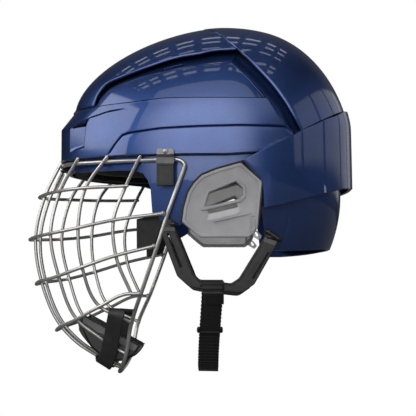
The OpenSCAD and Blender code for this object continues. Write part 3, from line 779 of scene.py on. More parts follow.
# ---- Crown ----
def over(edge, middle, a):
    """Rows over the crown from the left edge point, through the middle, to the right one."""
    left = side(edge)[:, None]
    middle = np.asarray(middle, float)
    top = np.concatenate([np.zeros((len(middle), 1)), middle], 1)[:, None]
    a = np.asarray(a)[None, :, None]
    rows = lerp(left, 2 * top - left * np.array([0, 1, 1]), 2 * a * (1 - a))
    rows[..., 0] = left[..., 0] * (1 - 2 * a[..., 0])
    return rows


LIP_ROWS = [0, 0.002, 0.006, 0.014, 0.03]
LIP_WALL = 1.1
LIP_TURN = (0.35, 0.75)


def rolled_edge(outer, first, second, w):
    """Turns the first line of a grid over the edge, away from the second one and into the shell."""
    outer[first] += unit(outer[first] - outer[second]) * LIP_TURN[0] - w[first] * LIP_TURN[1]


def crown_shell(name, edge, middle, depth):
    """A shell over the crown between its two lips; depth is how far each row along it is sunk."""
    lip = np.array(LIP_ROWS)
    a = np.concatenate([lip, np.linspace(lip[-1], 1 - lip[-1], 60)[1:-1], 1 - lip[::-1]])
    skin = on_skin(over(edge, middle, a))
    w = outward(skin)
    near = np.minimum(a, 1 - a)[None, :, None]
    outer = skin - w * depth[:, None, None]
    inner = outer - w * lerp(LIP_WALL, WALL, ease(near / 0.05))
    every = slice(None)
    for first, second in (((every, 0), (every, 1)), ((every, -1), (every, -2)), (0, 1)):
        rolled_edge(outer, first, second, w)
    for edge_row in ((every, 0), (every, -1)):
        inner[edge_row] = outer[edge_row] - w[edge_row] * LIP_WALL
    piece(grid_solid(name + "_skin", outer, inner, bevel=0.3), "shell", "shell_navy", NAVY, name)


def top_shell():
    edge, middle = curve_points(LIP_FRONT, 84), curve_points(CROWN_MID_FRONT, 84)
    crown_shell("top_shell", edge, middle, np.zeros(len(edge)))


def rear_crown_shell():
    edge, middle = curve_points(LIP_REAR, 80), curve_points(CROWN_MID_REAR, 80)
    crown_shell("rear_crown_shell", edge, middle, lerp(-0.5, 0.9, ease(np.linspace(0, 3, len(edge)))))


# ---- Rear band and nape ----
BAND_PROUD = 2.4
BAND_CORNER = 9.5
NAPE_SUNK = 4


def wrapped_rows(low, high, rows, columns):
    """How far each column is from the middle, and the skin between two edges of the rear."""
    edges = []
    for edge in (low, high):
        p = np.asarray(edge, float)
        tz = np.stack([turn_of(p[:, 0], p[:, 1]), p[:, 1]], -1)
        tz[-1, 0] = -90
        edges.append(tz)
    t = np.linspace(1, 0, columns)
    tz = lerp(line_points(edges[0], t)[:, None], line_points(edges[1], t)[:, None], rows[None, :, None])
    skin = plan(tz[..., 0], tz[..., 1])
    skin[0, :, 0] = 0
    return t[:, None], skin


def rear_shell():
    rows = np.concatenate([[0, 0.012], np.linspace(0.05, 0.95, 14), [0.988, 1]])
    t, skin = wrapped_rows(BAND_LOW, BAND_TOP, rows, 110)
    corner = BAND_CORNER * np.minimum(rows / 0.57, (1 - rows) / 0.43)[None, :] * ease(1 - t / 0.2)
    bent = side(np.stack([skin[..., 1] + corner, skin[..., 2]], -1))
    skin = np.where(corner[..., None] > 0, bent, skin)
    w = outward(skin)
    proud = BAND_PROUD * np.sqrt(t)[..., None]
    outer, inner = both_sides(skin + w * proud), both_sides(skin + w * (proud - WALL))
    ob = grid_solid("rear_band_skin", outer, inner, bevel=0.8)
    piece(ob, "shell", "shell_navy", NAVY, "rear_shell")


def nape_shell():
    rows = np.concatenate([[0, 0.015], np.linspace(0.06, 1, 14)])
    t, skin = wrapped_rows(NAPE_LOW, np.asarray(BAND_LOW) + [0, 1.5], rows, 100)
    w = outward(skin)
    depth = (NAPE_SUNK + 5.5 * t + 0 * rows)[..., None]
    crease = (0.48 * np.exp(-((t - 0.35 - 0.1 * rows) / 0.02) ** 2))[..., None]
    outer, inner = both_sides(skin - w * (depth + crease)), both_sides(skin - w * (depth + WALL))
    ob = grid_solid("nape_skin", outer, inner, bevel=0.8)
    piece(ob, "shell", "shell_navy", NAVY, "nape_shell")


# ---- Side recesses ----
PANEL_LOW = [[-104.5, 91.1], [-86, 91.6], [-62, 92.5], [-40, 94.6], [-12, 94.6], [22, 94.4], [56.5, 94.4]]
PANEL_TOP = [[-102.8, 92.2], [-98.5, 100], [-90, 107.5], [-76, 113], [-51, 119.5], [-37.8, 121.5],
             [-18.7, 124.8], [-4, 127.2], [12.3, 129.4], [24.4, 129.7]]
LIP_OVER = [[-108, 94.5], [-105, 107], [-96, 118], [-78, 125.5], [-53, 135], [-27, 142.5], [-5, 146],
            [9, 148.5], [33, 149.5]]
PANEL_SUNK = 2.2
VENT_SUNK = 9.2
PANEL_WALL = 2.0


def resampled(points, count):
    """count points on a polyline, evenly spaced by index."""
    return line_points(points, np.linspace(0, 1, count))


def louvre(tag, left):
    """The raised panel in the side recess, and the face that dives from it under the crown's lip."""
    n, m = 76, 34
    low = np.concatenate([resampled(even(PANEL_LOW[:6], 2), n), resampled(even(PANEL_LOW[5:], 2), m)[1:]])
    top = np.concatenate([resampled(even(curve_points(PANEL_TOP, 90), 1), n),
                          resampled(even(curve_points(PANEL_BACK[:5], 40), 1), m)[1:]])
    over_lip = np.concatenate([resampled(even(curve_points(LIP_OVER, 90), 1), n), top[n:] + [2, 2]])
    face = np.concatenate([[0, 0.012, 0.03], np.linspace(0.1, 0.9, 12), [0.97, 1]])
    dive = np.array([0.04, 0.1, 0.22, 0.38, 0.54, 0.7, 0.85, 1.0])
    a, b, c = side(low)[:, None], side(top)[:, None], side(over_lip)[:, None]
    p = on_skin(np.concatenate([lerp(a, b, face[None, :, None]), lerp(b, c, dive[None, :, None])], 1))
    dive_depth = lerp(PANEL_SUNK, VENT_SUNK, clamp(dive / 0.8, 0, 1))
    depth = np.concatenate([lerp(0.6, PANEL_SUNK, face), dive_depth])
    keep = np.ones((n + m - 2, len(depth) - 1), bool)
    keep[n - 1:, len(face) - 1:] = False
    ob = under_skin("louvre_" + tag + "_skin", p, depth, depth + PANEL_WALL, keep, 0.35)
    piece(sided(ob, left), "shell", "shell_navy", NAVY, "louvre_" + tag)


def louvre_tab(tag, left):
    """A small flap that hangs from under the crown's lip."""
    low, high = side([[-38.7, 125.4], [-20.3, 129.7]]), side([[-31, 129.8], [-23.3, 132.6]])
    u, v = unit_grid(9, 5)
    across = u[..., None]
    p = on_skin(lerp(lerp(low[0], low[1], across), lerp(high[0], high[1], across), v[..., None]))
    ob = under_skin("louvre_tab_" + tag, p, lerp(2.4, 5.0, v), lerp(3.6, 6.2, v), bevel=0.4)
    piece(sided(ob, left), "shell", "shell_navy", NAVY)


def vent_channel(tag, left):
    """The face that dives from the rear edge of the side panel under the rear crown shell."""
    start = side(curve_points(PANEL_BACK + [[86, 57.5]], 80))[:, None]
    end = side(curve_points(VENT_BACK + [[95, 61]], 80))[:, None]
    v = np.array([-0.12, -0.03, 0.0, 0.06, 0.14, 0.3, 0.5, 0.7, 0.85, 1.0, 1.2, 1.45])
    run = np.linspace(0, 1, 81)[:, None]
    sunk = lerp(PANEL_SUNK, 3.4, ease((run - 0.44) / 0.08))
    depth = lerp(sunk, VENT_SUNK, clamp(v, 0, 1)[None, :]) + np.where(v < 0, 2.4, 0)[None, :]
    p = on_skin(lerp(start, end, v[None, :, None]))
    ob = under_skin("vent_channel_" + tag + "_skin", p, depth, depth + PANEL_WALL, bevel=0.3)
    piece(sided(ob, left), "shell", "shell_navy", NAVY, "vent_channel_" + tag)


# ---- Liner: moulded foam behind the shells ----
FOAM_GAP = SIDE_STEP + WALL + 0.6
LINER_SIDE, LINER_FRONT, LINER_REAR, LINER_CROWN = 15, 20, 24, 20


def trench(v, places, width):
    """1 in channels at the given places and 0 between them, with soft walls."""
    near = np.min([np.abs(v - place) for place in places], axis=0)
    return 1 - ease((near - width * 0.5) / (width * 0.5))


def border(u, v, width):
    """0 along the edge of a grid that runs from 0 to 1, rising to 1 within the width."""
    edge = np.minimum(np.minimum(u, 1 - u), np.minimum(v, 1 - v))
    return np.sqrt(1 - (1 - clamp(edge / width, 0, 1)) ** 2)


def foam_block(name, skin, sunk, thick, cut, roll=2.5):
    """Foam between two depths under the skin; cut lowers its inner face and its edges are rolled."""
    round_off = roll * (1 - border(*unit_grid(*skin.shape[:2]), 0.05))
    return under_skin(name, skin, sunk + round_off * 0.6, sunk + thick - cut - round_off, bevel=0.8)


def wrapped(turns, heights, nu, nv):
    """Skin points from one angle to another and one height to another."""
    u, v = unit_grid(nu, nv)
    return plan(lerp(turns[0], turns[1], u), lerp(heights[0], heights[1], v))


def both_ways(half):
    """The whole grid from a left half whose first column is set on the middle."""
    half[0, :, 0] = 0
    return both_sides(half)


def liner(name, skin, sunk, thick, channels, roll=2.5):
    """Foam with channels: how far along or up they lie and how wide they are, and their depth."""
    across, up, depth = channels
    u, v = unit_grid(*skin.shape[:2])
    if across[2]:
        u = np.abs(2 * u - 1)
    cut = depth * np.maximum(trench(u, *across[:2]), trench(v, *up))
    return foam_block(name + "_foam", skin, sunk, thick, cut, roll)


def liners():
    skin = both_ways(wrapped((90, 28), (30.5, 118), 60, 50))
    channels = (((0.0, 0.42, 0.8), 0.035, True), ((0.22, 0.62), 0.04), 2.6)
    ob = liner("liner_front", skin, FOAM_GAP + 1.5, LINER_FRONT - 5.5, channels)
    piece(ob, "shell", "liner_foam", FOAM, "liner_front")

    skin = both_ways(wrapped((-90, -32), (-38, 112), 56, 60))
    channels = (((0.0, 0.36, 0.72), 0.035, True), ((0.3, 0.56, 0.8), 0.028), 3.0)
    ob = liner("liner_rear", skin, FOAM_GAP + 3.2, LINER_REAR - 4, channels)
    piece(ob, "shell", "liner_foam", FOAM, "liner_rear")

    channels = (((0.33, 0.67), 0.04, False), ((0.5,), 0.05), 2.2)
    for tag, left in SIDES:
        skin = wrapped((24, -29), (38, 114), 64, 50)
        ob = sided(liner("liner_" + tag, skin, FOAM_GAP, LINER_SIDE, channels), left)
        piece(ob, "shell", "liner_foam", FOAM, "liner_" + tag)

    u = np.linspace(0, 1, 60)
    edge = np.stack([lerp(-45, 70, u), np.full(60, 118.0)], -1)
    middle = np.stack([lerp(-72, 88, u), lerp(148, 154, u)], -1)
    skin = on_skin(over(edge, middle, np.linspace(0, 1, 80)))
    channels = (((0.25, 0.5, 0.75), 0.035, False), ((0.3, 0.5, 0.7), 0.03), 2.6)
    ob = liner("liner_crown", skin, FOAM_GAP, LINER_CROWN - 3, channels, roll=3)
    piece(ob, "shell", "liner_foam", FOAM, "liner_crown")


def rolled_strip(name, skin, sunk, thick, shrink):
    """A closed pad between two depths, drawn in from its edges so that the filling can swell it."""
    full = border(*unit_grid(*skin.shape[:2]), 0.16)
    top = sunk + shrink
    return under_skin(name, skin, top, top + np.maximum((thick - 2 * shrink) * full, 1.0), bevel=0)


def puffed(ob, voxel, pressure, most):
    """Swells a closed mesh with a cloth simulation and keeps every point within a set distance."""
    remesh = ob.modifiers.new("remesh", "REMESH")
    remesh.mode = "VOXEL"
    remesh.voxel_size = voxel * MM
    applied(ob)
    start = np.array([v.co[:] for v in ob.data.vertices])
    cloth = ob.modifiers.new("cloth", "CLOTH")
    cloth.settings.uniform_pressure_force = pressure
    cloth.settings.use_pressure = True
    cloth.settings.quality = 4
    cloth.settings.mass = 0.2
    cloth.settings.tension_stiffness = 20
    cloth.settings.compression_stiffness = 20
    cloth.settings.shear_stiffness = 10
    cloth.settings.bending_stiffness = 2
    cloth.settings.effector_weights.gravity = 0
    for n in range(1, 15):
        scene.frame_set(n)
    graph = bpy.context.evaluated_depsgraph_get()
    moved = np.array([v.co[:] for v in ob.evaluated_get(graph).data.vertices])
    ob.modifiers.remove(cloth)
    scene.frame_set(1)
    shift = moved - start
    length = np.linalg.norm(shift, axis=1, keepdims=True)
    moved = start + shift * np.minimum(1, most * MM / np.maximum(length, 1e-9))
    ob.data.vertices.foreach_set("co", moved.ravel())
    ob.data.update()
    smooth = ob.modifiers.new("smooth", "SMOOTH")
    smooth.iterations = 3
    smooth.factor = 0.4
    applied(ob)
    return ob


def applied(ob):
    """Applies an object's modifiers to its mesh."""
    graph = bpy.context.evaluated_depsgraph_get()
    mesh = bpy.data.meshes.new_from_object(ob.evaluated_get(graph))
    ob.modifiers.clear()
    old = ob.data
    ob.data = mesh
    bpy.data.meshes.remove(old)
    mesh.shade_smooth()


def line_at(value, place, width):
    """1 on a line, falling off over the width on both sides of it."""
    return np.exp(-((value - place) / width) ** 2)


def sewn(ob, groove_of):
    """Presses a sewn channel into a pad: groove_of gives how far each point moves."""
    points = np.array([v.co[:] for v in ob.data.vertices]) / MM
    ob.data.vertices.foreach_set("co", ((points + groove_of(points)) * MM).ravel())
    ob.data.update()
    sub = ob.modifiers.new("smooth_surface", "SUBSURF")
    sub.levels = sub.render_levels = 1
    return ob


def comfort_pads():
    skin = both_ways(wrapped((90, 35), (34, 66), 40, 14))
    pad = rolled_strip("forehead_comfort_pad", skin, FOAM_GAP + LINER_FRONT - 3.6, thick=5, shrink=0.5)
    puffed(pad, voxel=2.2, pressure=3.0, most=1.6)

    def forehead_seams(p):
        turn = np.degrees(np.arctan2(np.abs(p[:, 0]), -(p[:, 1] - 15)))
        depth = 0.9 * np.maximum(line_at(turn, 22, 1.2), line_at(p[:, 2], 50, 0.9) * 0.7)
        return unit(p - hub_of(p)) * depth[:, None] * [1, 1, 0]

    sewn(pad, forehead_seams)
    piece(pad, "shell", "comfort_fabric", KNIT, "forehead_pad")

    skin = both_ways(wrapped((-90, -48), (-32, 8), 32, 16))
    pad = rolled_strip("nape_comfort_pad", skin, 16 + LINER_REAR - 4, thick=7, shrink=0.7)
    puffed(pad, voxel=2.4, pressure=3.0, most=1.8)

    def nape_seams(p):
        depth = 1.1 * np.maximum(line_at(p[:, 0], 0, 1), line_at(p[:, 2], -12, 1) * 0.8)
        return unit(p - hub_of(p)) * depth[:, None] * [1, 1, 0]

    sewn(pad, nape_seams)
    piece(pad, "shell", "comfort_fabric", KNIT, "nape_pad")


# ---- Ear guards ----
EAR_OUT, EAR_T = 100.4, 3
EAR_EDGE = [[-20.9, -19.6], [-19.2, -7.2], [-15.5, 6.7], [-9.9, 15.8], [-2.6, 23.1], [11, 28.6],
            [33.2, 34.8], [52.6, 17.2], [51, 0], [49.2, -18], [48.4, -25], [45, -30], [40, -33.9],
            [-3.5, -33.9], [-8.5, -30.2]]
EAR_RADII = [3, 3, 8, 14, 20, 20, 2.5, 2.5, 8, 8, 3, 3, 3, 3, 3]
EAR_HOLE = [[4.6, 6.6], [28.5, 16.6], [34.2, 10.8], [34.6, 4.4], [31, 1], [0.4, -6.2]]
EAR_RIDGE = [[8, -20.4], [42.6, -12.6], [42.8, -10.6], [8.6, -18.6]]
EAR_POCKET = [[40.5, -11.5], [47, -13], [46.6, -27], [40.5, -31]]
EAR_POCKET_HOLE = [[42.2, -14], [45.4, -15], [45.2, -26.4], [42.2, -28.4]]
# Outline of a darker grey patch under the hole: painted shade of the recess there.
EAR_SHADE_PATCH = [[1.5, -7.4], [29, -0.8], [30.5, -6.3], [4, -12.3]]
EAR_LOOP = [[43, -24], [48, -27.5], [52.5, -32.5], [49.5, -36], [42, -31.5]]
EAR_LOOP_HOLE = [[45.5, -28], [47.5, -29], [49.5, -32], [47, -32.5]]


def grown(outline, by):
    """An outline moved outwards by a distance, or inwards where it is negative."""
    p = np.asarray(outline, float)
    back, ahead = np.roll(p, 1, 0), np.roll(p, -1, 0)
    d1, d2 = unit(p - back), unit(ahead - p)
    area = np.sum(p[:, 0] * ahead[:, 1] - ahead[:, 0] * p[:, 1])
    sign = 1 if area > 0 else -1
    n1 = np.stack([d1[:, 1], -d1[:, 0]], -1) * sign
    n2 = np.stack([d2[:, 1], -d2[:, 0]], -1) * sign
    n = unit(n1 + n2)
    return p + n * (by / np.maximum((n * n1).sum(1), 0.4))[:, None]


def upright_route(outline, x):
    p = np.asarray(outline, float)
    return np.concatenate([np.full((len(p), 1), float(x)), p], 1)


def ear_guard(tag, left):
    low = EAR_OUT - 0.3
    rim = rounded(grown(EAR_EDGE, -0.6), 3)
    collar = rounded(grown(EAR_HOLE, 3.2), 2.5)
    outline, hole = rounded(EAR_EDGE, EAR_RADII), rounded(EAR_HOLE, 1.4)
    parts = [plate("guard", outline, [hole], EAR_OUT - EAR_T, EAR_OUT, 0.7),
             plate("collar", collar, [rounded(grown(EAR_HOLE, 0.5), 1.4)], low, EAR_OUT + 1.5, 0.6),
             plate("rim", rim, [rounded(grown(EAR_EDGE, -3.4), 3)], low, EAR_OUT + 0.9, 0.5),
             plate("ridge", rounded(EAR_RIDGE, 0.7), [], low, EAR_OUT + 1.2, 0.6),
             plate("pocket", rounded(EAR_POCKET, 1.5), [rounded(EAR_POCKET_HOLE, 1.0)],
                   low, EAR_OUT + 0.9, 0.4)]
    ob = sided(joined("ear_guard_" + tag + "_shell", parts), left)
    piece(ob, "shell", "clear_plastic", CLEAR, "ear_guard_" + tag)
    # A darker grey patch under the hole: painted shade of the recess there, not a part of its own.
    ob = plate("ear_guard_" + tag + "_shade_patch", rounded(EAR_SHADE_PATCH, 1.2), [], low, EAR_OUT + 0.5, 0.4, left)
    piece(ob, "shell", "clear_plastic", GREY_PLASTIC_AND_PAINTED_LIGHT)
    # A black line along the guard's front, top and rear edge: painted shade at the edge.
    edge_shade_route = upright_route(even(grown(EAR_EDGE, 0.3)[:10], 1.5), EAR_OUT + 0.1)
    ob = sided(tube("ear_edge_shade_" + tag, edge_shade_route, 1.8, (1, 0, 0), 10), left)
    piece(ob, "shell", "black_plastic", BLACK)


def ear_loop(tag, left):
    ob = plate("ear_loop_" + tag + "_tab", rounded(EAR_LOOP, 1.5), [rounded(EAR_LOOP_HOLE, 0.6)],
               EAR_OUT - 9.5, EAR_OUT - 6.9, 0.5, left)
    piece(ob, "shell", "clear_plastic", CLEAR, "ear_loop_" + tag)


# ---- Cage ----
RIM_ROUTE = [[0, -139.2, 39.2], [19, -136.6, 39], [41, -129.5, 38.2], [61, -117.5, 37.4],
             [72.5, -103, 37], [80.5, -89, 37], [87.5, -73.5, 37], [92.5, -58, 37], [97, -45, 37],
             [100, -33, 37], [101.6, -25, 36.8], [102.2, -19.8, 34.5], [102.2, -18.2, 30],
             [101, -22, 19], [99, -30.5, -4], [97.5, -34.5, -15.5], [94.5, -42.6, -40.4],
             [89, -51.5, -66], [83, -58, -84], [72, -63, -96.5], [61.5, -66.5, -106], [55, -69.4, -116],
             [51, -71.8, -130], [46, -74.5, -143], [34, -78.2, -151.5], [17, -81.5, -156.8],
             [0, -82.5, -158]]
CROSSING = [[[19, -156.6, 10.5], [51, -138.6, 12], [76.5, -111.9, 13], [88, -73, 14]],
            [[19, -165.5, -30], [50.5, -147.4, -28], [75, -118.8, -24], [87, -84.6, -17.5]],
            [[19, -159.5, -72], [49.5, -139.5, -68], [73.5, -114.8, -60.5], [86, -82.2, -50]],
            [[19, -139.5, -115.5], [46, -122, -108.5], [67, -98, -96.5], [79, -71, -84.5]]]
BAR_FRONT = [[0, -161.5, 10], [0, -170.5, -31], [0, -164, -74], [0, -144, -118.5]]
BAR_END = [[88.5, -70.8, 14.1], [99.5, -37.5, -12], [94.4, -46, -41.4], [83.6, -60, -84.4]]
TIP = [[19.6, -138.6, 42], [63, -118.5, 41.5], [83, -89.5, 41.5], [94.8, -58.4, 40.8]]
FOOT = [[[18.5, -121.5, -130.5], [18, -104.6, -141.5], [17.5, -91, -149.5], [17, -80.5, -153.4]],
        [[43.5, -100, -124], [42.5, -86.6, -133.5], [44, -73.6, -140.2]],
        [[64.5, -87.4, -101.8], [60.5, -74.4, -107.5], [57, -67.5, -111]], [[79.5, -67, -84.6]]]
HINGE = RIM_ROUTE[0]
INSET = BAR_D - 0.35
SIDE_PLATE = [[-62, -16.4], [-36.2, -11.6], [-37, -16], [-44.5, -40], [-61.7, -44.4]]


def pulled(p):
    """An upright's place inside the bar that it crosses."""
    p = np.asarray(p, float)
    return p - unit([p[0], p[1] + 45, 0]) * INSET


def whole(half):
    """A route from one side to the other, from the half that starts on the middle."""
    half = np.asarray(half, float)
    return np.concatenate([mirror(half[1:])[::-1], half])


def bead(place, along, towards, long, wide):
    """A weld bead: a soft lump stretched along one direction."""
    a = unit(along)
    b = unit(np.asarray(towards, float) - a * (np.asarray(towards, float) @ a))
    c = np.cross(a, b)
    rings = []
    for polar in np.linspace(0.12, math.pi - 0.12, 7):
        turn = np.linspace(0, 2 * np.pi, 8, endpoint=False)
        radius = wide * math.sin(polar)
        rings.append(np.asarray(place) + long * math.cos(polar) * a + radius * (np.cos(turn)[:, None] * b
                     + np.sin(turn)[:, None] * c))
    return rings_object("bead", np.array(rings))


def cage():
    half = curve_points(RIM_ROUTE, 170)
    loop = np.concatenate([half, mirror(half[1:-1])[::-1]])
    rim = tube("cage_rim_wire", loop, RIM_D, (0, 0, 1), 16, closed=True)
    piece(rim, "cage", "cage_wire", WIRE, "cage_rim")
    beads = []
    for k in range(4):
        route = whole([BAR_FRONT[k], *CROSSING[k], BAR_END[k]])
        ob = tube("cage_bar_%d_wire" % (k + 1), wire_points(route, 2.2), BAR_D)
        piece(ob, "cage", "cage_wire", WIRE, "cage_bar_%d" % (k + 1))
        if k:
            for place in (np.array(BAR_END[k]), mirror(BAR_END[k])):
                beads.append(bead(place, (0, 0, 1), (1, 0, 0), 2.5, 2.15))
    for tag, left in SIDES:
        for k in range(4):
            crossed = np.array([bar[k] for bar in CROSSING[:4 if k < 3 else 3]])
            inside = np.array([pulled(q) for q in crossed])
            route = wire_points([TIP[k], *inside, *FOOT[k]], 2.2)
            weld_places = lerp(crossed, inside, 0.5)
            if not left:
                route, weld_places = mirror(route), mirror(weld_places)
            ob = tube("upright_%s_%d_wire" % (tag, k + 1), route, BAR_D, (1, 0, 0))
            piece(ob, "cage", "cage_wire", WIRE, "upright_%s_%d" % (tag, k + 1))
            beads += [bead(q, (0, 0, 1), (1, 0, 0), 2.0, 1.45) for q in weld_places]
            tip = lerp(route[1], route[4], 0.5)
            beads.append(bead(tip, route[4] - route[0], (1, 0, 0), 2.6, 1.75))
    piece(joined("cage_welds", beads), "cage", "cage_wire", WELD)


def side_plates():
    for tag, left in SIDES:
        lip = plate("lip", rounded(grown(SIDE_PLATE, -0.6), 1.2), [rounded(grown(SIDE_PLATE, -1.8), 1.0)],
                    90.3, 90.8, 0.2)
        parts = [plate("panel", rounded(SIDE_PLATE, 1.2), [], 88.5, 90.5, 0.5), lip]
        ob = sided(joined("side_plate_%s_panel" % tag, parts), left)
        piece(ob, "cage", "black_plastic", PLATE, "side_plate_" + tag)


# ---- Chin cup ----
CUP_SECTION = [[-122.5, -111.5], [-121, -119.5], [-113.5, -128.5], [-101.5, -136], [-88, -141.8],
               [-76, -144], [-67.5, -141.5]]
CUP_HALF_W = 41
CUP_TOP = np.array([[-115.4, -103.4], [-91.5, -116.4], [-61.2, -132.3]])
CUP_WELT = [[-114.4, -104.9], [-91.5, -117.3], [-62.6, -132.6], [-66.4, -138.2], [-91, -124.2],
            [-100, -120.5], [-115.6, -110.5]]
CUP_AIM = (-90, -92)
CUP_WALL = 2.6


def cup_grid(us, vs, depth):
    """Points of the cup, sunk towards the chin by depth."""
    vs = clamp(vs, 0, 1)[None, :]
    line = curve_points(CUP_SECTION, 240)
    y, z = (np.interp(vs * 240, np.arange(241), line[:, k]) for k in (0, 1))
    lift = np.abs(us)[:, None] ** 2.4
    x = CUP_HALF_W * us[:, None] + 0 * vs
    p = np.stack([x, y + lerp(7, 6, vs) * lift, z + (8 - 15 * np.sin(np.pi * vs)) * lift], -1)
    way = unit(np.stack([x * 0.35, CUP_AIM[0] + 0 * x, CUP_AIM[1] + 0 * x], -1) - p)
    return p + way * np.broadcast_to(depth, x.shape)[..., None]


def chin_cup():
    us, vs = np.linspace(-1, 1, 91), np.linspace(0, 1, 61)
    u, v = np.meshgrid(np.abs(us), vs, indexing="ij")
    lines = clamp(line_at(u, 0.86, 0.012) + line_at(v, 0.1, 0.014) * (u < 0.86), 0, 1)
    outer = cup_grid(us, vs, 0.45 * lines - 0.36 * np.exp((u - 1) / 0.03))
    slots = (np.abs(u[:-1, :-1] - 0.52) < 0.035) & (np.abs(v[:-1, :-1] - 0.45) < 0.09)
    parts = [grid_solid("cup", outer, cup_grid(us, vs, CUP_WALL), ~slots, bevel=0.8)]
    edge = cup_grid(np.ones(1), np.linspace(0, 1, 13), 1.2)[0, :, 1:]
    side_wall = np.concatenate([CUP_TOP, edge[::-1]])
    for tag, left in SIDES:
        lip = upright_route(even(CUP_TOP, 1.2)[:-2], 39.8 if left else -39.8)
        parts.append(plate("side_wall", side_wall, [], 37.9, 39.9, 0.5, left))
        parts.append(tube("lip", lip, 1.8, (1, 0, 0), 10))
        welt = plate("cup_welt_" + tag, rounded(CUP_WELT, 1.5), [], 39.5, 40.9, 0.5, left)
        piece(welt, "cage", "cup_plastic", GREY_PLASTIC_AND_PAINTED_LIGHT)
    piece(joined("chin_cup_shell", parts), "cage", "cup_plastic", CUP, "chin_cup")


def chin_pad():
    us, vs = np.linspace(-0.92, 0.92, 45), np.linspace(0.06, 0.9, 27)
    full = border(*unit_grid(45, 27), 0.14)
    clear = CUP_WALL + 0.7
    low, high = cup_grid(us, vs, clear), cup_grid(us, vs, clear + np.maximum(3.4 * full, 1.1))
    pad = puffed(grid_solid("chin_comfort_pad", low, high, bevel=0), voxel=1.9, pressure=2.5, most=0.6)

    def chin_seams(p):
        lift = unit(np.stack([0 * p[:, 0], CUP_AIM[0] - p[:, 1], CUP_AIM[1] - p[:, 2]], -1))
        depth = 0.64 * np.maximum(line_at(np.abs(p[:, 0]), 15, 1.1), line_at(p[:, 1], -100, 1.1))
        return -lift * depth[:, None]

    sewn(pad, chin_seams)
    piece(pad, "cage", "cup_foam", CUP_FOAM, "chin_pad")


CUP_STRAP = [[59.5, -80, -101], [61.5, -80.3, -98.5], [66.5, -81, -99.5], [68, -82, -104.5],
             [64, -83.5, -111], [55.5, -86.5, -124], [47.5, -89.5, -136], [38.5, -93, -146],
             [30, -96, -150.6], [24.4, -97.6, -149.4], [22.6, -98.4, -145], [24.5, -99, -139.8]]
CUP_STRAP_W = 15


def chin_straps():
    wide = (0, 1, -0.35)
    route = curve_points(CUP_STRAP, 110)
    _, across, _ = frames_along(route, wide)
    for tag, left in SIDES:
        parts = [ribbon("band", route, CUP_STRAP_W, 1.9, wide, edge=0.6)]
        for end in (-1, 1):
            hem = (route + across * (CUP_STRAP_W / 2 - 0.8) * end)[6:-6]
            parts.append(tube("edge", hem, 2.2, wide, sides=8))
        ob = sided(joined("chin_strap_%s_band" % tag, parts), left)
        piece(ob, "cage", "soft_black_plastic", SOFT_BLACK, "chin_strap_" + tag)


# ---- Forehead clip and side clips ----
def arc(centre, radius, start, end, n=12):
    turn = np.radians(np.linspace(start, end, n))
    return [[centre[0] + radius * math.cos(t), centre[1] + radius * math.sin(t)] for t in turn]


def screw_head(name, place, out, radius, height):
    """A pan head with a cross recess, standing along out."""
    out = unit(out)
    a = unit(np.cross(out, [0.3, 1, 0.2]))
    b = np.cross(out, a)
    turn = np.linspace(0, 2 * np.pi, 32, endpoint=False)
    rings = []
    for share, rise_by in ((0.98, 0), (1, 0.12), (1, 0.5), (0.86, 0.85), (0.55, 1), (0.5, 1)):
        ring = radius * share * (np.cos(turn)[:, None] * a + np.sin(turn)[:, None] * b)
        rings.append(np.asarray(place) + out * height * rise_by + ring)
    recess = 0.16 + 0.3 * np.maximum(np.abs(np.cos(turn * 2)) ** 6, 0)
    for deep in (1.0, 0.35):
        ring = radius * recess[:, None] * (np.cos(turn)[:, None] * a + np.sin(turn)[:, None] * b)
        rings.append(np.asarray(place) + out * height * deep + ring)
    return rings_object(name, np.array(rings))


def forehead_clip():
    y, z = HINGE[1:]
    jaw = arc((y, z), RIM_D / 2 + 0.9, 150, -150, 20)
    front, rear, top, low = y - 1.6, y + 6.5, z + 3.6, z - 4.6
    outline = [[front, top], [rear, top], [rear, low], [front, low], [front, z - 2.9]]
    mouth = [p for p in jaw if p[0] > front][::-1]
    shape = rounded(outline, [0.6, 1.2, 1.2, 0.8, 0.4]) + mouth + [[front, z + 2.9]]
    ob = plate("forehead_clip_block", shape, [], -7, 7, 0.35)
    piece(ob, "shell", "black_plastic", BLACK, "forehead_clip")
    heads = [screw_head("head", (x, y + 4.6, low), (0, 0, -1), 1.8, 0.9) for x in (-4, 4)]
    tongue = [[-11, 0], [-11, -10], *arc((0, -10), 11, 187, 353, 20), [11, -10], [11, 0]]
    parts = [plate("tongue", tongue, [box(-4, -14, 4, -16, 0.9)], -0.75, 0.75, 0.4)]
    parts += [plate("rib", box(x - 0.6, -1, x + 0.6, -14, 0.5), [], 0.6, 1.3, 0.3) for x in (-7, 7)]
    ob = joined("forehead_strap_tongue", parts)
    c, s = math.cos(math.radians(66)), math.sin(math.radians(66))
    for v in ob.data.vertices:
        n, x, b = v.co
        v.co = (x, (y + 0.4) * MM + b * c - n * s, (z - 5.2) * MM + b * s + n * c)
    faced_out(ob.data)
    piece(ob, "shell", "clear_plastic", CLEAR, "forehead_strap")
    piece(joined("forehead_screw_heads", heads), "shell", "screw_steel", STEEL, "forehead_screws")


CLIP_OUT, CLIP_Y, CLIP_T, CLIP_W = 107.2, -35.3, 2.2, 15.6
CLIP_HINGE_Z, FLAP_LOW, CLIP_TOP, SCREW_Z = 39.4, 12.5, 46.2, 43.6
CLIP_IN = CLIP_OUT - CLIP_T
CLIP_LOW = CLIP_HINGE_Z + CLIP_T / 2 + 0.3


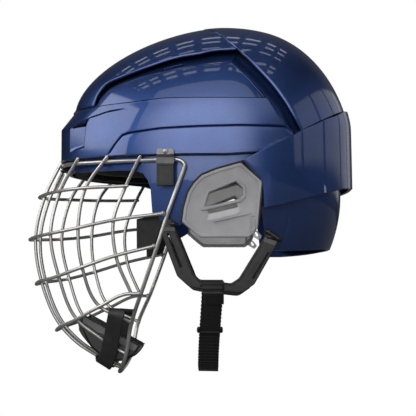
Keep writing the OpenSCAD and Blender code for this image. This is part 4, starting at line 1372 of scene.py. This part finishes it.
def side_clips():
    lo, hi = CLIP_Y - CLIP_W / 2, CLIP_Y + CLIP_W / 2
    raised = CLIP_OUT - 0.2, CLIP_OUT + 0.35
    heads = []
    for tag, left in SIDES:
        hole = arc((CLIP_Y, SCREW_Z), 1.5, 0, 345, 24)
        block = box(lo, CLIP_LOW, hi, CLIP_TOP, [0.4, 0.4, 1, 1])
        parts = [plate("base", block, [hole], CLIP_IN, CLIP_OUT, 0.4)]
        for at in (lo + 1.2, lo + 11.4):
            facet = [[at, CLIP_LOW + 0.6], [at + 2.6, CLIP_LOW + 0.6], [at + 2.2, CLIP_TOP - 0.7]]
            parts.append(plate("facet", rounded(facet, 0.3), [], *raised, 0.2))
        ob = sided(joined("clip_base_%s_block" % tag, parts), left)
        piece(ob, "shell", "clear_plastic", CLEAR, "clip_base_" + tag)
        leaf = box(lo, FLAP_LOW, hi, CLIP_HINGE_Z, [1.2, 1.2, 0.2, 0.2])
        rim = box(lo + 0.3, FLAP_LOW + 0.3, hi - 0.3, 32, 1)
        window = box(lo + 1.5, FLAP_LOW + 1.5, hi - 1.5, 30.8, 0.8)
        pin_x, pull_x, pull_z = CLIP_OUT - CLIP_T / 2, CLIP_OUT - 0.3, FLAP_LOW + 0.8
        knuckle = np.linspace([pin_x, lo + 0.5, CLIP_HINGE_Z], [pin_x, hi - 0.5, CLIP_HINGE_Z], 9)
        pull = np.linspace([pull_x, lo + 1.5, pull_z], [pull_x, hi - 1.5, pull_z], 9)
        parts = [plate("flap", leaf, [], CLIP_IN, CLIP_OUT, 0.5), plate("lip", rim, [window], *raised, 0.25),
                 tube("knuckle", knuckle, CLIP_T, (0, 0, 1), 20), tube("pull", pull, 1.7, (0, 0, 1), 12)]
        ob = sided(joined("clip_flap_%s_leaf" % tag, parts), left)
        piece(ob, "clip_flap_" + tag, "black_plastic", SOFT_BLACK, "clip_flap_" + tag)
        # A lighter grey band across the flap just below its hinge: painted highlight where the flap bulges
        # over the rim wire.
        band = plate("clip_highlight_band_" + tag, box(lo - 0.3, 32.4, hi + 0.3, 38.2, 0.8), [],
                     CLIP_OUT - 0.1, CLIP_OUT + 0.7, 0.35, left)
        piece(band, "clip_flap_" + tag, "clear_plastic", GREY_PLASTIC_AND_PAINTED_LIGHT)
        sign = 1 if left else -1
        heads.append(screw_head("head", (sign * (CLIP_OUT - 0.2), CLIP_Y, SCREW_Z), (sign, 0, 0), 2.2, 0.9))
        shank = np.linspace([sign * CLIP_IN, CLIP_Y, SCREW_Z], [sign * CLIP_OUT, CLIP_Y, SCREW_Z], 6)
        heads.append(tube("shank", shank, 2.8, (0, 1, 0), 20))
    piece(joined("clip_screw_heads", heads), "shell", "screw_steel", STEEL, "clip_screws")


# ---- Chin strap ----
YOKE_X = 96.2
ANCHOR_FRONT, ANCHOR_REAR = np.array([YOKE_X, -28.5, -21.5]), np.array([YOKE_X, 61, -33.5])
BARREL_FRONT, BARREL_REAR, PIN_R, BARREL_WALL, BAR_R = 5, 9.5, 1.6, 1.1, 2.4
SWING = unit(ANCHOR_REAR - ANCHOR_FRONT)
YOKE_EDGE = [[-33.5, -16.5], [-29.8, -17.5], [-26.6, -24.2], [-9.6, -65.9], [-4.5, -71.5], [24, -75],
             [31, -70.5], [53, -34.8], [56.2, -28.8], [67.8, -36.6], [61.8, -46.8], [45.2, -76],
             [33, -84.5], [-3, -80.5], [-14, -78.3], [-24.8, -68.6], [-38.8, -31], [-36.8, -22]]
YOKE_RADII = [2, 1, 2, 6, 5, 4, 8, 2, 1, 1.5, 3, 7, 10, 8, 8, 8, 3, 2]
YOKE_SLOTS = [[[-33.6, -30], [-32.5, -30.4], [-20.8, -60], [-22, -60.4]],
              [[57, -48], [58.2, -47.3], [44.6, -70.6], [43.5, -70]]]
BAR_MID = np.array([YOKE_X, 7, -77.5])
WEBBING_SLOT = [[-3, BAR_MID[2] + 2.4], [17, BAR_MID[2] + 2.4], [17, BAR_MID[2] + 4], [-3, BAR_MID[2] + 4.6]]


def barrel(name, place, length, radius, bore=0.0, sides=28):
    """A round sleeve along the swing direction, with softened ends and a bore."""
    a, b = np.array([1.0, 0, 0]), np.cross(SWING, [1, 0, 0])
    turn = np.linspace(0, 2 * np.pi, sides, endpoint=False)
    ring = np.cos(turn)[:, None] * a + np.sin(turn)[:, None] * b
    soft = 0.35
    stations = [(-length / 2, radius - soft), (-length / 2 + soft, radius), (length / 2 - soft, radius),
                (length / 2, radius - soft)]
    if bore:
        stations += [(length / 2, bore), (-length / 2, bore)]
    rings = np.array([place + SWING * s + ring * r for s, r in stations])
    return rings_object(name, rings, closed=bool(bore))


def band_on_arm(start, end, width, lift):
    """A flat band across an arm, from one edge point to the other."""
    start, end = np.array(start, float), np.array(end, float)
    along = unit(end - start)
    start, end = start - along * 0.3, end + along * 0.3
    down = np.array([-along[1], along[0]]) * width
    outline = rounded([start, end, end + down, start + down], 0.7)
    return plate("band", outline, [], YOKE_X - lift, YOKE_X + lift, 0.4)


def anchor_block(place):
    """A block of the shell that holds one end of a pin."""
    ring = rounded_box_section(3.0, 3.6, 0.8)
    flat = ring[:, :1] * np.array([1.0, 0, 0]) + ring[:, 1:] * np.cross([1, 0, 0], SWING)
    base = place + np.array([-0.9, 0, 0])
    stations = ((-0.65, 0.86), (-0.45, 1), (0.45, 1), (0.65, 0.86))
    return rings_object("block", np.array([base + SWING * at + scale * flat for at, scale in stations]))


def yokes():
    face = YOKE_X + YOKE_T / 2
    sleeve_r = PIN_R + BARREL_WALL
    for tag, left in SIDES:
        slots = [rounded(slot, 0.5) for slot in YOKE_SLOTS]
        body = plate("body", rounded(YOKE_EDGE, YOKE_RADII), slots + [rounded(WEBBING_SLOT, 0.4)],
                     YOKE_X - YOKE_T / 2, face, 0.8)
        stripe = upright_route(even(grown(YOKE_EDGE, -1.5)[2:8], 1.5), face - 0.15)
        parts = [body, tube("stripe", stripe, 1.3, (1, 0, 0), 8)]
        for slot in slots:
            ring = upright_route(grown(slot, 0.6), face - 0.1)
            parts.append(tube("slot_lip", ring, 0.7, (1, 0, 0), 8, closed=True))
        roll = even([[YOKE_X + 0.9, 57, -28.4], [YOKE_X + 0.9, 67.4, -35.4]], 2)
        parts += [tube("roll", roll, 5.4, (1, 0, 0), 18),
                  barrel("sleeve", ANCHOR_FRONT, BARREL_FRONT, sleeve_r, PIN_R + 0.06),
                  barrel("sleeve", ANCHOR_REAR, BARREL_REAR, sleeve_r, PIN_R + 0.06),
                  barrel("bar", BAR_MID, WEB_W + 4, BAR_R)]
        ob = sided(joined("yoke_%s_arm" % tag, parts), left)
        piece(ob, "yoke_" + tag, "soft_black_plastic", YOKE, "yoke_" + tag)
        bands = [band_on_arm([-36.6, -24.5], [-27, -24.5], -3.8, YOKE_T / 2 + 0.5),
                 band_on_arm([53.4, -37.6], [63.6, -41.6], 4.6, YOKE_T / 2 + 0.6)]
        ob = sided(joined("yoke_bands_" + tag, bands), left)
        piece(ob, "yoke_" + tag, "soft_black_plastic", GREY_RUBBER)
        blocks = []
        for place, length in ((ANCHOR_FRONT, BARREL_FRONT), (ANCHOR_REAR, BARREL_REAR)):
            blocks.append(barrel("pin", place, length + 3.2, PIN_R))
            blocks += [anchor_block(place + SWING * end * (length / 2 + 0.9)) for end in (-1, 1)]
        ob = sided(joined("yoke_anchor_%s_pins" % tag, blocks), left)
        piece(ob, "shell", "black_plastic", BLACK, "yoke_anchor_" + tag)


BOW_R, BOW_TURN, BOW_LOW = 62, 36, -157
BOW_SIN, BOW_COS = math.sin(math.radians(BOW_TURN)), math.cos(math.radians(BOW_TURN))
BOW_END = np.array([YOKE_X + 3.9, -84])
BOW_KNEE = np.array([BOW_R * BOW_SIN, BOW_LOW + BOW_R * (1 - BOW_COS)])
CHORD = BOW_END - BOW_KNEE
ARM_TURN = 2 * (math.degrees(math.atan2(CHORD[1], CHORD[0])) - BOW_TURN)
ARM_R = float(np.linalg.norm(CHORD)) / 2 / math.sin(math.radians(ARM_TURN / 2))
ARM_HUB = BOW_KNEE + ARM_R * np.array([-BOW_SIN, BOW_COS])
RIB_PITCH = 4.7
WEB_STEP = 0.55
WEB_END = [[4.2, -80], [4.2, -76], [3.4, -73.9], [1.6, -73], [-1.8, -73], [-3.4, -74], [-4.2, -76.2],
           [-4.2, -81.5]]


def bow(turn):
    """The webbing's point in millimetres where it has turned by an angle in degrees from the bottom."""
    s, c = math.sin(math.radians(turn)), math.cos(math.radians(turn))
    if turn <= BOW_TURN:
        return np.array([BOW_R * s, BAR_MID[1], BOW_LOW + BOW_R * (1 - c)])
    return np.array([ARM_HUB[0] + ARM_R * s, BAR_MID[1], ARM_HUB[1] - ARM_R * c])


def lean(points):
    """How far the webbing leans to the front towards its lowest point."""
    return -4.2 * ease((BOW_END[1] - points[..., 2]) / (BOW_END[1] - BOW_LOW)) ** 0.7


def ribs(run):
    """How high the webbing's cross ribs stand at a distance along it, from 0 to 1."""
    return (0.5 + 0.5 * np.cos(2 * np.pi * run / RIB_PITCH)) ** 1.4


def webbing():
    hang = even([bow(t) for t in np.linspace(0, BOW_TURN + ARM_TURN, 200)], WEB_STEP)
    ends = curve_points([hang[-1], *[[YOKE_X + e[0], BAR_MID[1], e[1]] for e in WEB_END]], 48)
    half = even(np.concatenate([hang[:-1], ends]), WEB_STEP)
    run = np.concatenate([[0], np.cumsum(np.linalg.norm(np.diff(half, axis=0), axis=1))])
    rib = lerp(0.45, ribs(run), ease((run - 14) / 12))
    half[:, 1] += lean(half)
    swell = [np.concatenate([v[:0:-1], v]) for v in (0.7 + 0.65 * rib, 1.04 + 0.05 * rib)]
    band = ribbon("band", whole(half), WEB_W, WEB_T, (0, 1, 0), swell, 0.5)
    piece(band, "webbing", "webbing_fabric", NYLON, "webbing")
    band.name = "chin_webbing"
    fold = even([bow(BOW_TURN + ARM_TURN * f) + [1.7, 1.8, 0] for f in np.linspace(0.86, 1, 22)], WEB_STEP)
    rib = ribs(np.arange(len(fold)) * WEB_STEP)
    tail = ribbon("webbing_tail", fold, WEB_W - 0.5, 1.2, (0, 1, 0), (0.6 + 0.7 * rib, 1 + 0 * rib), 0.4)
    piece(tail, "webbing", "webbing_fabric", NYLON)


def slider():
    turn = BOW_TURN + ARM_TURN * 0.5
    half_w = WEB_W / 2 + 0.7
    parts = [plate("bar", box(-half_w, -2, half_w, 2, 1), [], -3.2, -1.7, 0.5)]
    for y in (-half_w - 0.4, half_w + 0.4):
        parts.append(tube("knob", np.linspace([-2.4, y, 0], [1, y, 0], 7), 3.8, (0, 0, 1), 16))
    ob = joined("web_slider_frame", parts)
    c, s = math.cos(math.radians(turn)), math.sin(math.radians(turn))
    at = bow(turn)
    for v in ob.data.vertices:
        x, y, z = v.co
        v.co = (at[0] * MM + x * c - z * s, y + (at[1] + lean(at)) * MM, at[2] * MM + x * s + z * c)
    piece(ob, "web_slider", "black_plastic", BLACK, "web_slider")


def brow_vent():
    """A black block under the crown's front lip: painted shade standing in for the dark vent opening there."""
    u, v = unit_grid(31, 9)
    u = 2 * u - 1
    outer = np.stack([15 * u, lerp(-129.2, -125.4, v) + 2.2 * np.abs(u) ** 2, lerp(91.2, 96.2, v)], -1)
    ob = grid_solid("brow_vent_shade_block", outer, outer + np.array([0, 6, -1]), bevel=0.8)
    piece(ob, "shell", "black_plastic", BLACK)


# ---- Camera, light and floor, in the units of the design ----
CAMERA = (1430, 14.1, -101.9)
TARGET = (0, 2.4, 0)
LENS = 127.6
FLOOR_Z = -161


def add_camera():
    camera = bpy.data.objects.new("camera", bpy.data.cameras.new("camera"))
    camera.location = Vector(CAMERA) * MM
    camera.rotation_euler = (Vector(TARGET) * MM - camera.location).to_track_quat("-Z", "Y").to_euler()
    camera.data.lens = LENS
    camera.data.sensor_width = 36
    camera.data.clip_start = 0.05
    scene.collection.objects.link(camera)
    scene.camera = camera


class Studio:
    """The room that lights and is reflected: soft patches of light on a dark surround, white to the camera."""

    def __init__(self, dark):
        self.world = bpy.data.worlds.new("studio")
        scene.world = self.world
        self.world.use_nodes = True
        self.tree = self.world.node_tree
        self.way = self.tree.nodes.new("ShaderNodeTexCoord").outputs["Generated"]
        self.total = None
        self.dark = dark

    def math(self, operation, a, b=0.0):
        node = self.tree.nodes.new("ShaderNodeMath")
        node.operation = operation
        for socket, value in zip(node.inputs, (a, b)):
            if isinstance(value, (int, float)):
                socket.default_value = value
            else:
                self.tree.links.new(value, socket)
        return node.outputs[0]

    def step(self, value, low, high, top=1.0):
        node = self.tree.nodes.new("ShaderNodeMapRange")
        node.interpolation_type = "SMOOTHSTEP"
        for key, v in (("From Min", low), ("From Max", high), ("To Min", 0.0), ("To Max", top)):
            node.inputs[key].default_value = v
        self.tree.links.new(value, node.inputs["Value"])
        return node.outputs["Result"]

    def between(self, value, low, high, soft):
        """1 between low and high; soft is how wide each of its two edges is."""
        below, above = (soft, soft) if isinstance(soft, float) else soft
        inside = self.math("SUBTRACT", 1.0, self.step(value, high - above, high + above))
        return self.math("MULTIPLY", self.step(value, low - below, low + below), inside)

    def add(self, value):
        self.total = value if self.total is None else self.math("ADD", self.total, value)

    def patch(self, way, inner, outer, strength):
        """A round patch of light: full within the inner angle, gone beyond the outer one."""
        node = self.tree.nodes.new("ShaderNodeVectorMath")
        node.operation = "DOT_PRODUCT"
        self.tree.links.new(self.way, node.inputs[0])
        node.inputs[1].default_value = [float(v) for v in unit(way)]
        low, high = math.cos(math.radians(outer)), math.cos(math.radians(inner))
        self.add(self.step(node.outputs["Value"], low, high, strength))

    def slopes(self, ahead, sideways, up):
        """How far a direction leans sideways and up for each unit ahead."""
        ahead = self.math("MAXIMUM", ahead, 0.05)
        return self.math("DIVIDE", sideways, ahead), self.math("DIVIDE", up, ahead)

    def pane(self, slopes, across, tall, soft, strength, bars=0.0):
        """A window between two slopes sideways and two slopes up, split by upright bars."""
        u, v = slopes
        light = self.math("MULTIPLY", self.between(u, *across, soft[0]), self.between(v, *tall, soft[1]))
        if bars:
            split = self.between(self.math("FRACT", self.math("MULTIPLY", u, bars)), 0.05, 0.95, 0.03)
            light = self.math("MULTIPLY", light, split)
        self.add(self.math("MULTIPLY", light, strength))

    def windows(self):
        """Windows ahead of the helmet, beside it and behind it, and rows of small ones in the ceiling."""
        split = self.tree.nodes.new("ShaderNodeSeparateXYZ")
        self.tree.links.new(self.way, split.inputs[0])
        x, y, z = split.outputs
        ahead = self.slopes(self.math("MULTIPLY", y, -1.0), x, z)
        self.pane(ahead, (-0.25, 0.86), (0.16, 0.95), (0.03, 0.05), 2.1)
        self.pane(self.slopes(x, y, z), (-0.97, 0.8), (0.5, 1.75), ((0.03, 0.4), (0.3, 0.03)), 0.8)
        self.pane(self.slopes(y, x, z), (-1.9, 0.8), (0.10, 0.72), (0.03, 0.03), 0.5, 1.7)
        u, v = self.slopes(z, x, y)
        panes = self.between(self.math("FRACT", self.math("MULTIPLY", v, 7.0)), 0.2, 0.85, 0.06)
        total = self.between(u, -0.58, -0.50, 0.015)
        for low, high in ((-0.36, -0.30), (-0.14, -0.10), (0.16, 0.21), (0.28, 0.34)):
            total = self.math("ADD", total, self.between(u, low, high, 0.015))
        total = self.math("MULTIPLY", total, self.between(v, -0.75, 0.55, 0.03))
        self.add(self.math("MULTIPLY", self.math("MULTIPLY", total, panes), 1.5))

    def finish(self):
        back = self.tree.nodes["Background"]
        back.inputs["Color"].default_value = (1, 1, 1, 1)
        self.tree.links.new(self.math("ADD", self.total, self.dark), back.inputs["Strength"])
        white = self.tree.nodes.new("ShaderNodeBackground")
        white.inputs["Color"].default_value = (1, 1, 1, 1)
        mix = self.tree.nodes.new("ShaderNodeMixShader")
        path = self.tree.nodes.new("ShaderNodeLightPath")
        self.tree.links.new(path.outputs["Is Camera Ray"], mix.inputs["Fac"])
        self.tree.links.new(back.outputs["Background"], mix.inputs[1])
        self.tree.links.new(white.outputs["Background"], mix.inputs[2])
        self.tree.links.new(mix.outputs["Shader"], self.tree.nodes["World Output"].inputs["Surface"])


def add_studio():
    studio = Studio(0.010)
    studio.patch((0.95, -0.16, 0.27), 5, 36, 1.9)
    studio.patch((-0.9, 0.1, 0.5), 10, 40, 0.06)
    studio.windows()
    studio.finish()


def add_floor():
    """Pale and evenly white to the camera, dimmer in reflections."""
    far = 6000
    corners = [(-far, -far), (far, -far), (far, far), (-far, far)]
    mesh = bpy.data.meshes.new("floor")
    mesh.from_pydata([(x * MM, y * MM, FLOOR_Z * MM) for x, y in corners], [], [(0, 1, 2, 3)])
    floor = bpy.data.objects.new("floor", mesh)
    scene.collection.objects.link(floor)
    s = Shader("floor_white", Roughness=0.8)
    s.set("Base Color", s.ramp(s.noise(3), grey(0.15), grey(0.17)))
    glow = s.node("Emission", Strength=1.0)
    mix = s.node("MixShader")
    s.link(s.node("LightPath").outputs["Is Camera Ray"], mix.inputs["Fac"])
    s.link(s.bsdf.outputs["BSDF"], mix.inputs[1])
    s.link(glow.outputs["Emission"], mix.inputs[2])
    s.link(mix.outputs["Shader"], s.tree.nodes["Material Output"].inputs["Surface"])
    floor.data.materials.append(s.material)


scene.view_settings.view_transform = "Standard"
add_camera()
add_studio()
add_floor()

front_shell()
top_shell()
rear_crown_shell()
rear_shell()
nape_shell()
for tag, left in SIDES:
    louvre(tag, left)
    vent_channel(tag, left)
    louvre_tab(tag, left)
    ear_guard(tag, left)
    ear_loop(tag, left)
brow_vent()
liners()
comfort_pads()
cage()
side_plates()
chin_cup()
chin_pad()
chin_straps()
forehead_clip()
side_clips()
yokes()
webbing()
slider()
